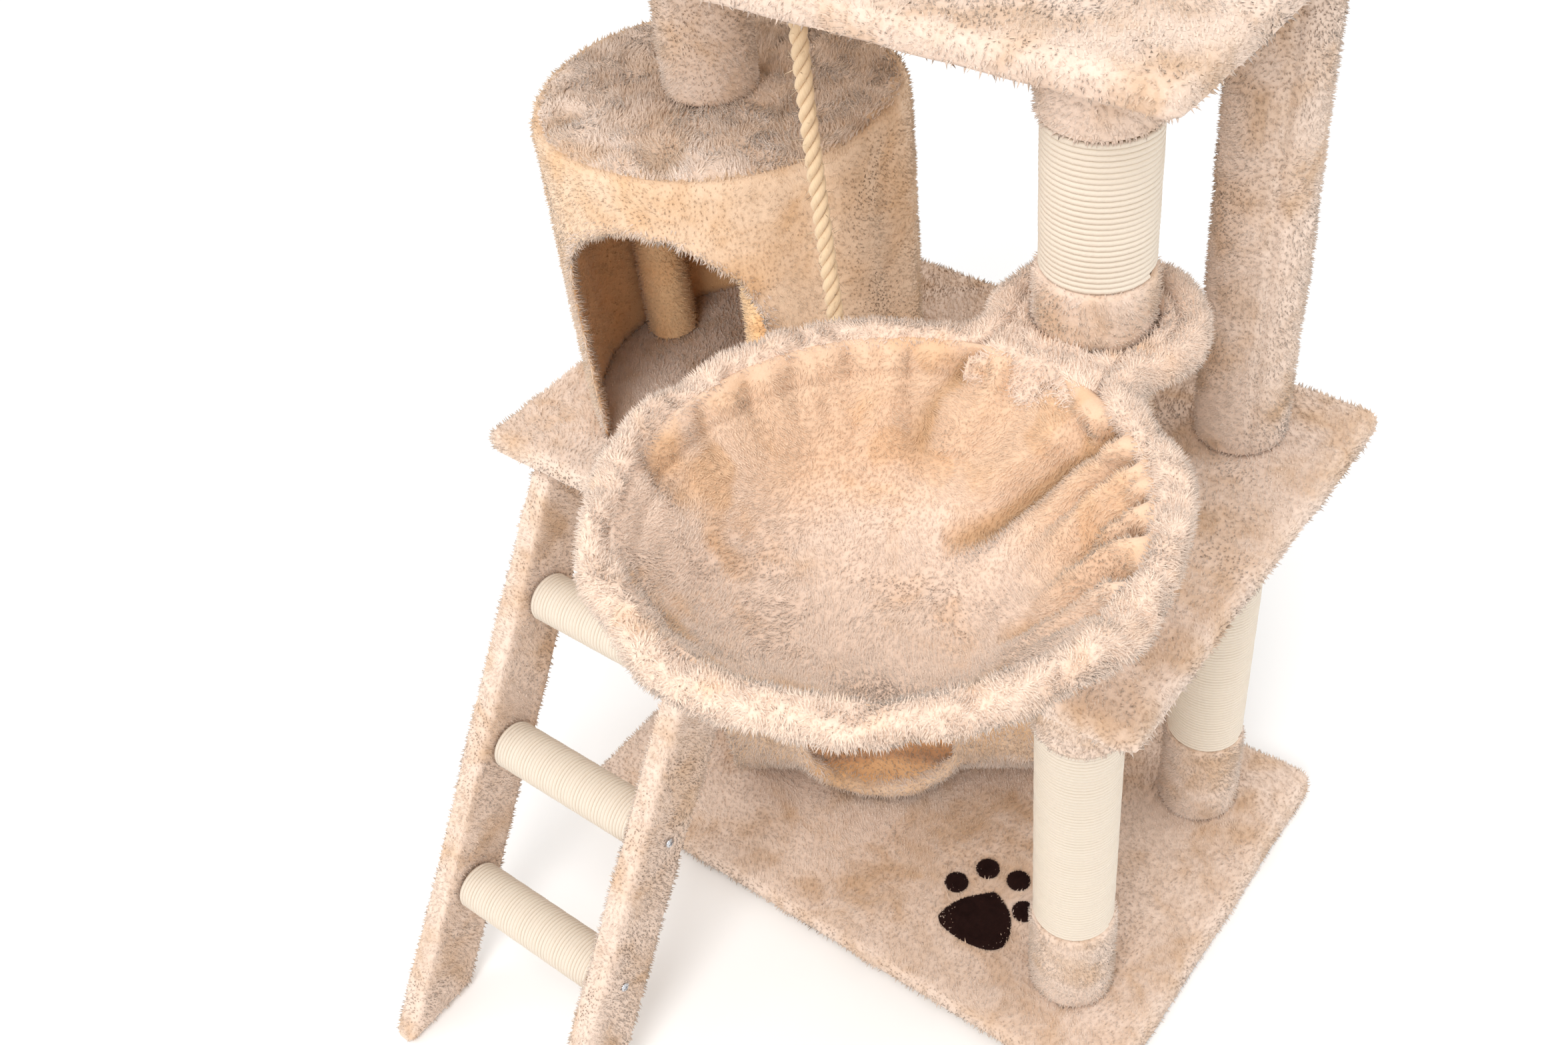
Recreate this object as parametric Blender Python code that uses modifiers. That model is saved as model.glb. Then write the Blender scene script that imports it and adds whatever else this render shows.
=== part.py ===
"""Cat tree: plush-covered boards on sisal and plush posts, with a condo, a wire hammock,
a tunnel, a ladder and a hanging rope. Metres, +Z up; the origin is the centre of the
base's underside, X runs along the base's long side and Y towards the back."""
import math

import bmesh
import bpy
from mathutils import Matrix, Vector

GAP = 0.0003                     # clearance between pieces that touch
ROUND_STEPS = 20                 # sides of a post, a prop or a rung
WIDE_STEPS = 40                  # sides of the condo, the tunnel and their openings
SMALL_STEPS = 12                 # sides of the stud
SMOOTH_ANGLE = math.radians(40)
MERGE = 0.00005
OVERCUT = 0.010                  # how far a cutter runs past the piece that it cuts

# Boards and their plush covers
BOARD, BOARD_EDGE = 0.016, 0.0015
PLUSH = 0.0084
COVER_CORNER = 0.009
BASE_LENGTH, BASE_DEPTH = 0.600, 0.407
LOWER_LENGTH, LOWER_DEPTH, LOWER_TOP = 0.602, 0.3965, 0.476
UPPER_LENGTH, UPPER_DEPTH, UPPER_TOP = 0.578, 0.357, 0.9175
UPPER_SHIFT_Y = 0.0015
PERCH_SIDE, PERCH_TOP = 0.300, 1.305
PERCH_CENTRE = (-0.140, -0.010)
BOLSTER_RADIUS, BOLSTER_CORNER = 0.020, 0.060

# Posts: a paper tube, wound with sisal between two plush collars, or sleeved in plush
TUBE_RADIUS, TUBE_WALL = 0.0308, 0.0030
SISAL_WALL, COLLAR_WALL, SLEEVE_WALL = 0.0028, 0.0053, 0.0044
POST_X, POST_FRONT_Y, POST_BACK_Y = 0.2170, -0.1168, 0.1190
LOW_COLLAR_BOTTOM, LOW_COLLAR_TOP = 0.098, 0.090
MID_COLLAR = 0.045
HIGH_COLLAR_TOP = 0.034

# Condo: a round house on the lower platform
CONDO_CENTRE = (-0.150, -0.020)
CONDO_RADIUS, CONDO_WALL, CONDO_ROOF_TOP = 0.140, 0.0087, 0.740
ROOF_EDGE = 0.005
DOOR_ANGLE, DOOR_WIDTH, DOOR_HEIGHT = math.radians(283), 0.152, 0.215
PROP_RADIUS, PROP_INSET = 0.0215, 0.0015
PROP_ANGLES = tuple(math.radians(a) for a in (172, 62, 322))
CONDO_POST = (-0.153, -0.0235)

# Hammock: a figure-of-eight wire clamped between two stacked posts
HAMMOCK_Z = 0.720
HAMMOCK_ANGLE, HAMMOCK_RADIUS = math.radians(265.7), 0.149
RING_FROM_POST, NECK_WIRE_FROM_POST, NECK_FILLET = 0.0165, 0.0227, 0.030
RIM_RADIUS, WIRE_RADIUS, WIRE_BORE = 0.0135, 0.0025, 0.0034
BOWL_DEPTH, BOWL_WALL, BOWL_CURVE = 0.085, 0.007, 2.5
BOWL_RINGS, BOWL_SIDES = 8, 32
NECK_STEPS, FILLET_STEPS, RING_STEPS = 12, 5, 30
RIM_SLIT = math.radians(12)      # half of the sleeve's opening on its inner side
RIM_STEPS, BORE_STEPS = 11, 6
DISC_THICKNESS, DISC_TOP = 0.0080, 0.7162
STUD_RADIUS, STUD_HOLE, STUD_LENGTH = 0.0039, 0.0045, 0.090
PLUG_LENGTH = 0.040

# Tunnel: a soft tube lying on the base with a round mouth in its front
TUNNEL_RADIUS, TUNNEL_WALL, TUNNEL_LENGTH = 0.088, 0.008, 0.330
TUNNEL_ANGLE = math.radians(33)
MOUTH_CENTRE = (-0.030, -0.052)
MOUTH_REACH, MOUTH_RADIUS, MOUTH_RIM = 0.078, 0.076, 0.011
MOUTH_FOLD = math.pi / 8         # where the rim's section starts
NECK_EXTRA, OPENING_EXTRA = 0.003, 0.001
MOUTH_SIDES, RIM_SIDES = 32, 8
TUNNEL_SHIFT = 0.020             # how far the tube runs further to the right of its mouth

# Ladder: two leaning stringers with sisal-wound rungs between them
LADDER_LEFT, LADDER_RIGHT = -0.2582, -0.0504
STRINGER_THICKNESS, STRINGER_DEPTH, STRINGER_EDGE = 0.0255, 0.066, 0.003
LADDER_FOOT_Y, LADDER_LEAN = -0.4984, math.radians(34.08)
RUNG_FIRST, RUNG_PITCH, RUNG_COUNT = 0.161, 0.1382, 3
RUNG_CORE_RADIUS, RUNG_SISAL_WALL = 0.0185, 0.0030

# Rope: twisted sisal hanging from the upper platform
ROPE_RADIUS = 0.0057
ROPE_ROUTE = ((0.0320, -0.1400, 0.8868), (0.0321, -0.1400, 0.8700), (0.0326, -0.1400, 0.8350),
              (0.0340, -0.1400, 0.7950), (0.0358, -0.1400, 0.7550), (0.0378, -0.1400, 0.7150),
              (0.0398, -0.1400, 0.6750), (0.0415, -0.1400, 0.6350), (0.0427, -0.1400, 0.5950),
              (0.0433, -0.1400, 0.5650), (0.0434, -0.1400, 0.5450))
ROPE_POINTS = 14
ROPE_DOME = tuple(math.radians(a) for a in (75, 50, 25))
ROUTE_STEPS = 8                  # points between two of the route's own
KNOT_RADIUS, KNOT_HEIGHT = 0.0150, 0.036
KNOT_SIDES, KNOT_RINGS = 14, 10

# Sizes that follow from the ones above
COVERED = BOARD + GAP + PLUSH
BASE_TOP = COVERED
LOWER_UNDER = LOWER_TOP - COVERED
UPPER_UNDER = UPPER_TOP - COVERED
DISC_UNDER = DISC_TOP - DISC_THICKNESS
TUBE_OUTER = TUBE_RADIUS + GAP
NECK_RING_RADIUS = TUBE_RADIUS + NECK_WIRE_FROM_POST
HAMMOCK_REACH = TUBE_RADIUS + RING_FROM_POST + HAMMOCK_RADIUS
CONDO_FLOOR = LOWER_TOP + GAP
CONDO_CEILING = CONDO_ROOF_TOP - COVERED

CREAM = (0.80, 0.62, 0.44)
PEACH = (0.86, 0.62, 0.42)
SISAL = (0.84, 0.76, 0.58)
WOOD = (0.62, 0.47, 0.30)
PAPER = (0.56, 0.43, 0.29)
STEEL = (0.72, 0.72, 0.73)
ROPE = (0.76, 0.66, 0.45)
SOFT_ROUGHNESS, WOOD_ROUGHNESS, STEEL_ROUGHNESS = 0.9, 0.7, 0.35


def clear_scene():
    for old in list(bpy.data.objects):
        bpy.data.objects.remove(old, do_unlink=True)


def new_collection(name):
    made = bpy.data.collections.new(name)
    bpy.context.scene.collection.children.link(made)
    return made


def finish(obj, colour, roughness=SOFT_ROUGHNESS, metallic=0.0):
    mat = bpy.data.materials.new(obj.name)
    mat.use_nodes = True
    shader = mat.node_tree.nodes["Principled BSDF"]
    shader.inputs["Base Color"].default_value = (*colour, 1.0)
    shader.inputs["Roughness"].default_value = roughness
    shader.inputs["Metallic"].default_value = metallic
    obj.data.materials.append(mat)
    return obj


def mesh_object(name, bm, smooth=True):
    data = bpy.data.meshes.new(name)
    bm.to_mesh(data)
    bm.free()
    if smooth:
        data.shade_smooth()
        data.set_sharp_from_angle(angle=SMOOTH_ANGLE)
    obj = bpy.data.objects.new(name, data)
    parts.objects.link(obj)
    return obj


def make_cutter(obj):
    parts.objects.unlink(obj)
    cutters.objects.link(obj)
    obj.hide_render = True
    obj.display_type = "WIRE"
    return obj


def boolean(obj, tool, operation):
    mod = obj.modifiers.new(operation.lower(), "BOOLEAN")
    mod.operation = operation
    mod.object = make_cutter(tool)


def bevel(obj, width, segments=2):
    mod = obj.modifiers.new("rounded", "BEVEL")
    mod.width = width
    mod.segments = segments
    mod.limit_method = "ANGLE"


def block(name, low, high):
    low, high = Vector(low), Vector(high)
    bm = bmesh.new()
    bmesh.ops.create_cube(bm, size=1.0)
    size = Matrix.Diagonal((*(high - low), 1.0))
    bmesh.ops.transform(bm, matrix=Matrix.Translation((low + high) / 2) @ size, verts=bm.verts)
    return mesh_object(name, bm, smooth=False)


def cylinder(name, radius, length, steps=ROUND_STEPS):
    bm = bmesh.new()
    bmesh.ops.create_cone(bm, cap_ends=True, segments=steps, radius1=radius, radius2=radius,
                          depth=length)
    return mesh_object(name, bm)


def turned(name, profile, centre, steps=ROUND_STEPS, closed=True):
    """Turn a profile of (radius, height) points about the vertical through centre."""
    bm = bmesh.new()
    verts = [bm.verts.new((r, 0.0, z)) for r, z in profile]
    for a, b in zip(verts, verts[1:]):
        bm.edges.new((a, b))
    if closed:
        bm.edges.new((verts[-1], verts[0]))
    obj = mesh_object(name, bm)
    obj.location = (*centre, 0.0)
    mod = obj.modifiers.new("turned", "SCREW")
    mod.steps = mod.render_steps = steps
    mod.use_merge_vertices = True
    mod.merge_threshold = MERGE
    return obj


def pipe(name, centre, inner, outer, low, high, steps=ROUND_STEPS):
    profile = ((outer, high), (outer, low), (inner, low), (inner, high))
    return turned(name, profile, centre, steps)


def tube_curve(name, points, radius, cyclic=False, resolution=2):
    curve = bpy.data.curves.new(name, "CURVE")
    curve.dimensions = "3D"
    curve.bevel_depth = radius
    curve.bevel_resolution = resolution
    curve.use_fill_caps = not cyclic
    spline = curve.splines.new("POLY")
    spline.points.add(len(points) - 1)
    for point, place in zip(spline.points, points):
        point.co = (*place, 1.0)
    spline.use_cyclic_u = cyclic
    obj = bpy.data.objects.new(name, curve)
    parts.objects.link(obj)
    return obj


def arc(centre, radius, start, end, count):
    step = (end - start) / (count - 1)
    return [(centre[0] + radius * math.cos(start + i * step),
             centre[1] + radius * math.sin(start + i * step)) for i in range(count)]


def platform(name, length, depth, top, centre=(0.0, 0.0)):
    """A board under a plush cover that wraps its top and edges."""
    under = top - COVERED
    half = Vector((length / 2, depth / 2))
    middle = Vector(centre)
    low, high = middle - half, middle + half
    inset = Vector((PLUSH + GAP, PLUSH + GAP))
    board = block(name + "_board", (*(low + inset), under), (*(high - inset), top - PLUSH - GAP))
    bevel(board, BOARD_EDGE, 1)
    finish(board, WOOD, WOOD_ROUGHNESS)
    cover = block(name + "_cover", (*low, under), (*high, top))
    bm = bmesh.new()
    bm.from_mesh(cover.data)
    bottom = min(bm.faces, key=lambda face: face.calc_center_median().z)
    bmesh.ops.delete(bm, geom=[bottom], context="FACES_ONLY")
    bm.to_mesh(cover.data)
    bm.free()
    bevel(cover, COVER_CORNER, 3)
    shell = cover.modifiers.new("plush", "SOLIDIFY")
    shell.thickness = PLUSH
    shell.offset = -1.0
    shell.use_even_offset = True
    finish(cover, CREAM)


def sisal_post(name, centre, low, high, collar_bottom, collar_top):
    low, high = low + GAP, high - GAP
    finish(pipe(name + "_tube", centre, TUBE_RADIUS - TUBE_WALL, TUBE_RADIUS, low, high), PAPER)
    sisal_low, sisal_high = low + collar_bottom, high - collar_top
    finish(pipe(name + "_sisal", centre, TUBE_OUTER, TUBE_OUTER + SISAL_WALL,
                sisal_low + GAP, sisal_high - GAP), SISAL)
    finish(pipe(name + "_collar_bottom", centre, TUBE_OUTER, TUBE_OUTER + COLLAR_WALL,
                low, sisal_low), CREAM)
    finish(pipe(name + "_collar_top", centre, TUBE_OUTER, TUBE_OUTER + COLLAR_WALL,
                sisal_high, high), CREAM)


def plush_post(name, centre, low, high):
    low, high = low + GAP, high - GAP
    finish(pipe(name + "_tube", centre, TUBE_RADIUS - TUBE_WALL, TUBE_RADIUS, low, high), PAPER)
    finish(pipe(name + "_sleeve", centre, TUBE_OUTER, TUBE_OUTER + SLEEVE_WALL, low, high), CREAM)


def make_posts():
    front_right, back_right = (POST_X, POST_FRONT_Y), (POST_X, POST_BACK_Y)
    back_left = (-POST_X, POST_BACK_Y)
    for name, centre in (("front_right_low", front_right), ("back_right_low", back_right),
                         ("back_left_low", back_left)):
        sisal_post(name, centre, BASE_TOP, LOWER_UNDER, LOW_COLLAR_BOTTOM, LOW_COLLAR_TOP)
    sisal_post("front_right_mid", front_right, LOWER_TOP, DISC_UNDER, MID_COLLAR, MID_COLLAR)
    sisal_post("front_right_high", front_right, DISC_TOP, UPPER_UNDER, MID_COLLAR, HIGH_COLLAR_TOP)
    plush_post("back_right_tall", back_right, LOWER_TOP, UPPER_UNDER)
    plush_post("condo_post", CONDO_POST, CONDO_ROOF_TOP, UPPER_UNDER)
    plush_post("perch_post", CONDO_POST, UPPER_TOP, PERCH_TOP - COVERED)


def make_condo():
    inner = CONDO_RADIUS - CONDO_WALL
    wall = pipe("condo_wall", CONDO_CENTRE, inner, CONDO_RADIUS, CONDO_FLOOR,
                CONDO_CEILING - GAP, WIDE_STEPS)
    finish(wall, CREAM)
    spring = CONDO_FLOOR + DOOR_HEIGHT - DOOR_WIDTH / 2
    middle = Vector((*CONDO_CENTRE, 0.0)) + Matrix.Rotation(DOOR_ANGLE, 3, "Z") @ Vector(
        (CONDO_RADIUS, 0.0, 0.0))
    turn = Matrix.Rotation(DOOR_ANGLE, 4, "Z")
    reach = CONDO_RADIUS
    lower = block("doorway_lower", (-reach / 2, -DOOR_WIDTH / 2, CONDO_FLOOR - OVERCUT - spring),
                  (reach / 2, DOOR_WIDTH / 2, 0.0))
    upper = cylinder("doorway_arch", DOOR_WIDTH / 2, reach, WIDE_STEPS)
    lower.matrix_world = Matrix.Translation((middle.x, middle.y, spring)) @ turn
    upper.matrix_world = lower.matrix_world @ Matrix.Rotation(math.pi / 2, 4, "Y")
    boolean(wall, lower, "DIFFERENCE")
    boolean(wall, upper, "DIFFERENCE")

    ceiling, top = CONDO_CEILING, CONDO_ROOF_TOP
    board_radius = CONDO_RADIUS - CONDO_WALL
    board_top = top - PLUSH - GAP
    board = cylinder("condo_roof_board", board_radius, BOARD, WIDE_STEPS)
    board.location = (*CONDO_CENTRE, board_top - BOARD / 2)
    finish(board, WOOD, WOOD_ROUGHNESS)
    cap = ((0.0, top), (CONDO_RADIUS - ROOF_EDGE, top), (CONDO_RADIUS, top - ROOF_EDGE),
           (CONDO_RADIUS, ceiling), (board_radius + GAP, ceiling),
           (board_radius + GAP, board_top + GAP), (0.0, board_top + GAP))
    finish(turned("condo_roof_cover", cap, CONDO_CENTRE, WIDE_STEPS, closed=False), CREAM)

    ring = inner - PROP_RADIUS - PROP_INSET
    height = ceiling - CONDO_FLOOR - GAP
    for number, angle in enumerate(PROP_ANGLES, start=1):
        prop = cylinder(f"condo_prop_{number}", PROP_RADIUS, height)
        prop.location = (CONDO_CENTRE[0] + ring * math.cos(angle),
                         CONDO_CENTRE[1] + ring * math.sin(angle), CONDO_FLOOR + height / 2)
        finish(prop, CREAM)


def keyhole():
    """The hammock wire's outline about the post, with the bowl's ring along +X."""
    far = HAMMOCK_RADIUS + NECK_FILLET
    near = NECK_RING_RADIUS + NECK_FILLET
    reach = HAMMOCK_REACH
    at_post = math.acos((near ** 2 + reach ** 2 - far ** 2) / (2 * near * reach))
    fillet = Vector((near * math.cos(at_post), near * math.sin(at_post)))
    to_bowl = math.atan2(-fillet.y, reach - fillet.x)
    bowl_start = math.atan2(fillet.y, fillet.x - reach)
    outline = arc((0.0, 0.0), NECK_RING_RADIUS, -at_post, at_post - math.tau, NECK_STEPS)
    outline += arc(fillet, NECK_FILLET, at_post - math.pi, to_bowl, FILLET_STEPS)[1:]
    outline += arc((reach, 0.0), HAMMOCK_RADIUS, bowl_start, -bowl_start, RING_STEPS)[1:]
    outline += arc((fillet.x, -fillet.y), NECK_FILLET, -to_bowl, math.pi - at_post,
                   FILLET_STEPS)[1:-1]
    return outline


def make_hammock():
    post = Vector((POST_X, POST_FRONT_Y, HAMMOCK_Z))
    place = Matrix.Translation(post) @ Matrix.Rotation(HAMMOCK_ANGLE, 4, "Z")
    loop = [(x, y, 0.0) for x, y in keyhole()]
    wire = tube_curve("hammock_frame", loop, WIRE_RADIUS, cyclic=True, resolution=1)
    wire.matrix_world = place
    finish(wire, STEEL, STEEL_ROUGHNESS, 1.0)

    slit = RIM_SLIT
    section = arc((0, 0), RIM_RADIUS, math.tau - slit, slit, RIM_STEPS)
    section += arc((0, 0), WIRE_BORE, 3 * slit, math.tau - 3 * slit, BORE_STEPS)
    profile = tube_curve("rim_section", [(x, y, 0.0) for x, y in section], 0.0, cyclic=True)
    profile.data.dimensions = "2D"
    profile.data.fill_mode = "NONE"
    sleeve = tube_curve("hammock_rim", loop, 0.0, cyclic=True)
    sleeve.data.twist_mode = "Z_UP"
    sleeve.data.bevel_mode = "OBJECT"
    sleeve.data.bevel_object = make_cutter(profile)
    sleeve.matrix_world = place
    finish(sleeve, PEACH)

    edge = HAMMOCK_RADIUS - RIM_RADIUS - 2 * GAP
    middle = place @ Vector((HAMMOCK_REACH, 0.0, 0.0))
    inside = []
    for i in range(BOWL_RINGS + 1):
        r = edge * i / BOWL_RINGS
        inside.append((r, HAMMOCK_Z - BOWL_DEPTH * (1 - (r / edge) ** BOWL_CURVE)))
    outside = [(r, z - BOWL_WALL) for r, z in reversed(inside)]
    bowl = turned("hammock_bowl", inside + outside, middle.xy, BOWL_SIDES, closed=False)
    finish(bowl, PEACH)

    disc = pipe("hammock_disc", post.xy, STUD_HOLE, NECK_RING_RADIUS - RIM_RADIUS - 2 * GAP,
                DISC_UNDER, DISC_TOP)
    finish(disc, PEACH)
    stud = cylinder("hammock_stud", STUD_RADIUS, STUD_LENGTH, SMALL_STEPS)
    clamp = (DISC_TOP + DISC_UNDER) / 2
    stud.location = (*post.xy, clamp)
    finish(stud, STEEL, STEEL_ROUGHNESS, 1.0)
    plug_radius = TUBE_RADIUS - TUBE_WALL - GAP
    for name, low in (("clamp_plug_low", DISC_UNDER - GAP - PLUG_LENGTH),
                      ("clamp_plug_high", DISC_TOP + GAP)):
        plug = pipe(name, post.xy, STUD_RADIUS + GAP, plug_radius, low, low + PLUG_LENGTH)
        finish(plug, WOOD, WOOD_ROUGHNESS)


def make_tunnel():
    axis_height = BASE_TOP + GAP + TUNNEL_RADIUS
    along = Vector((math.cos(TUNNEL_ANGLE), math.sin(TUNNEL_ANGLE), 0.0))
    outward = Vector((along.y, -along.x, 0.0))
    mouth = Vector((*MOUTH_CENTRE, axis_height))
    middle = mouth - outward * MOUTH_REACH
    lying = along.to_track_quat("Z", "Y").to_matrix().to_4x4()
    facing = outward.to_track_quat("Z", "Y").to_matrix().to_4x4()
    tube_place = Matrix.Translation(middle + along * TUNNEL_SHIFT) @ lying
    neck_place = Matrix.Translation(middle + outward * MOUTH_REACH / 2) @ facing

    shell = cylinder("tunnel_shell", TUNNEL_RADIUS, TUNNEL_LENGTH, WIDE_STEPS)
    shell.matrix_world = tube_place
    finish(shell, PEACH)
    neck = cylinder("tunnel_neck", MOUTH_RADIUS + NECK_EXTRA, MOUTH_REACH, WIDE_STEPS)
    neck.matrix_world = neck_place
    bm = bmesh.new()
    section = [bm.verts.new((MOUTH_RADIUS + x, 0.0, z))
               for x, z in arc((0, 0), MOUTH_RIM, MOUTH_FOLD, MOUTH_FOLD - math.tau,
                               RIM_SIDES + 1)[:-1]]
    for a, b in zip(section, section[1:] + section[:1]):
        bm.edges.new((a, b))
    bmesh.ops.spin(bm, geom=bm.verts[:] + bm.edges[:], axis=(0, 0, 1), cent=(0, 0, 0),
                   steps=MOUTH_SIDES, angle=math.tau, use_merge=True)
    bmesh.ops.recalc_face_normals(bm, faces=bm.faces)
    rim = mesh_object("tunnel_rim", bm)
    rim.matrix_world = Matrix.Translation(mouth) @ facing
    bore = cylinder("tunnel_bore", TUNNEL_RADIUS - TUNNEL_WALL,
                    TUNNEL_LENGTH + 2 * OVERCUT, WIDE_STEPS)
    bore.matrix_world = tube_place
    opening = cylinder("mouth_bore", MOUTH_RADIUS - MOUTH_RIM + OPENING_EXTRA,
                       MOUTH_REACH * 2, WIDE_STEPS)
    opening.matrix_world = Matrix.Translation(mouth) @ facing
    boolean(shell, neck, "UNION")
    boolean(shell, rim, "UNION")
    boolean(shell, bore, "DIFFERENCE")
    boolean(shell, opening, "DIFFERENCE")


def make_ladder():
    height = LOWER_UNDER - GAP
    level_depth = STRINGER_DEPTH / math.cos(LADDER_LEAN)
    slope = math.tan(LADDER_LEAN)
    inner_left = LADDER_LEFT + STRINGER_THICKNESS
    inner_right = LADDER_RIGHT - STRINGER_THICKNESS
    for name, low_x in (("ladder_stringer_left", LADDER_LEFT),
                        ("ladder_stringer_right", inner_right)):
        stringer = block(name, (low_x, LADDER_FOOT_Y, 0.0),
                         (low_x + STRINGER_THICKNESS, LADDER_FOOT_Y + level_depth, height))
        for vert in stringer.data.vertices:
            vert.co.y += slope * vert.co.z
        bevel(stringer, STRINGER_EDGE, 1)
        finish(stringer, CREAM)

    up = Vector((0.0, math.sin(LADDER_LEAN), math.cos(LADDER_LEAN)))
    back = Vector((0.0, up.z, -up.y))
    length = inner_right - inner_left - 2 * GAP
    middle_x = (inner_left + inner_right) / 2
    across = Matrix.Rotation(math.pi / 2, 4, "Y")
    for number in range(RUNG_COUNT):
        centre = Vector((middle_x, LADDER_FOOT_Y, 0.0))
        centre += up * (RUNG_FIRST + number * RUNG_PITCH) + back * (STRINGER_DEPTH / 2)
        core = cylinder(f"ladder_rung_core_{number + 1}", RUNG_CORE_RADIUS, length)
        core.matrix_world = Matrix.Translation(centre) @ across
        finish(core, WOOD, WOOD_ROUGHNESS)
        wrap = pipe(f"ladder_rung_sisal_{number + 1}", (0.0, 0.0), RUNG_CORE_RADIUS + GAP,
                    RUNG_CORE_RADIUS + GAP + RUNG_SISAL_WALL, -length / 2, length / 2)
        wrap.matrix_world = Matrix.Translation(centre) @ across
        finish(wrap, SISAL)


def smooth_route(points, count):
    """Evenly spaced points on a smooth curve through the route's own points."""
    knots = [Vector(p) for p in points]
    knots = [2 * knots[0] - knots[1]] + knots + [2 * knots[-1] - knots[-2]]
    fine = []
    for a, b, c, d in zip(knots, knots[1:], knots[2:], knots[3:]):
        for i in range(ROUTE_STEPS):
            t = i / ROUTE_STEPS
            fine.append(0.5 * (2 * b + (c - a) * t + (2 * a - 5 * b + 4 * c - d) * t ** 2
                               + (3 * b - a - 3 * c + d) * t ** 3))
    fine.append(knots[-2])
    lengths = [0.0]
    for a, b in zip(fine, fine[1:]):
        lengths.append(lengths[-1] + (b - a).length)
    route, i = [], 0
    for k in range(count):
        target = lengths[-1] * k / (count - 1)
        while i < len(fine) - 2 and lengths[i + 1] < target:
            i += 1
        share = (target - lengths[i]) / (lengths[i + 1] - lengths[i])
        route.append(fine[i].lerp(fine[i + 1], share))
    return route


def make_rope():
    """The rope, with a round top so that it can swing under the upper platform."""
    route = smooth_route(ROPE_ROUTE, ROPE_POINTS)
    dome = [route[0] + Vector((0.0, 0.0, ROPE_RADIUS * math.sin(a))) for a in ROPE_DOME]
    rope = tube_curve("rope", dome + route, ROPE_RADIUS)
    for point, angle in zip(rope.data.splines[0].points, ROPE_DOME):
        point.radius = math.cos(angle)
    finish(rope, ROPE)
    end = Vector(ROPE_ROUTE[-1])
    bm = bmesh.new()
    bmesh.ops.create_uvsphere(bm, u_segments=KNOT_SIDES, v_segments=KNOT_RINGS, radius=1.0)
    size = Matrix.Diagonal((KNOT_RADIUS, KNOT_RADIUS, KNOT_HEIGHT / 2, 1.0))
    bmesh.ops.transform(bm, matrix=size, verts=bm.verts)
    knot = mesh_object("rope_knot", bm)
    knot.location = end - Vector((0.0, 0.0, KNOT_HEIGHT / 2 + GAP))
    finish(knot, ROPE)


def make_bolster():
    reach = PERCH_SIDE / 2 - BOLSTER_RADIUS
    corner = reach - BOLSTER_CORNER
    loop = []
    for quarter in range(4):
        turn = Matrix.Rotation(quarter * math.pi / 2, 2)
        bend = arc((corner, corner), BOLSTER_CORNER, 0.0, math.pi / 2, 7)
        loop += [turn @ Vector(point) for point in bend]
    height = PERCH_TOP + GAP + BOLSTER_RADIUS
    ring = [(PERCH_CENTRE[0] + p.x, PERCH_CENTRE[1] + p.y, height) for p in loop]
    finish(tube_curve("perch_bolster", ring, BOLSTER_RADIUS, cyclic=True), CREAM)


clear_scene()
parts = new_collection("cat_tree")
cutters = new_collection("cutters")
platform("base", BASE_LENGTH, BASE_DEPTH, BASE_TOP)
platform("lower_platform", LOWER_LENGTH, LOWER_DEPTH, LOWER_TOP)
platform("upper_platform", UPPER_LENGTH, UPPER_DEPTH, UPPER_TOP, (0.0, UPPER_SHIFT_Y))
platform("perch", PERCH_SIDE, PERCH_SIDE, PERCH_TOP, PERCH_CENTRE)
make_posts()
make_condo()
make_hammock()
make_tunnel()
make_ladder()
make_rope()
make_bolster()
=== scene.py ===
import math

import bmesh
import bpy
import numpy as np
from mathutils import Matrix, Vector


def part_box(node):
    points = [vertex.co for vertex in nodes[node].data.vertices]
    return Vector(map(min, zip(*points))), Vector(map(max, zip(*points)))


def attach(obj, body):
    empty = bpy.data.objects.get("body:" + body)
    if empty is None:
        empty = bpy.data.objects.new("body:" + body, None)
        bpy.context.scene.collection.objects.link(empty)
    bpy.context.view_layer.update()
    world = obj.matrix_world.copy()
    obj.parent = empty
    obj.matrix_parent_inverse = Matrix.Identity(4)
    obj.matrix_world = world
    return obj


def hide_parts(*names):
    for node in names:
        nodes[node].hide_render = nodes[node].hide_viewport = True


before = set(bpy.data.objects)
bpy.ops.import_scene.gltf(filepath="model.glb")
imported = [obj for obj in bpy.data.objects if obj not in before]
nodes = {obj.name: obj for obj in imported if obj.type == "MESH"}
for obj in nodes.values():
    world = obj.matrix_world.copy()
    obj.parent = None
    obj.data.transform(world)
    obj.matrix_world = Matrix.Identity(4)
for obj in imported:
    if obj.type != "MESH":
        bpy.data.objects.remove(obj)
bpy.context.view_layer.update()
scene = bpy.context.scene
print("Frame loaded:", len(nodes), "nodes")


# Node trees
def socketOf(sockets, key):
    if isinstance(key, int):
        return sockets[key]
    return next(s for s in sockets if s.name == key and s.enabled)


def addNode(tree, kind, inputs=None, **settings):
    node = tree.nodes.new(kind)
    for name, value in settings.items():
        setattr(node, name, value)
    for key, value in (inputs or {}).items():
        socket = socketOf(node.inputs, key)
        if isinstance(value, bpy.types.NodeSocket):
            tree.links.new(value, socket)
        else:
            socket.default_value = value
    return node


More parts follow.
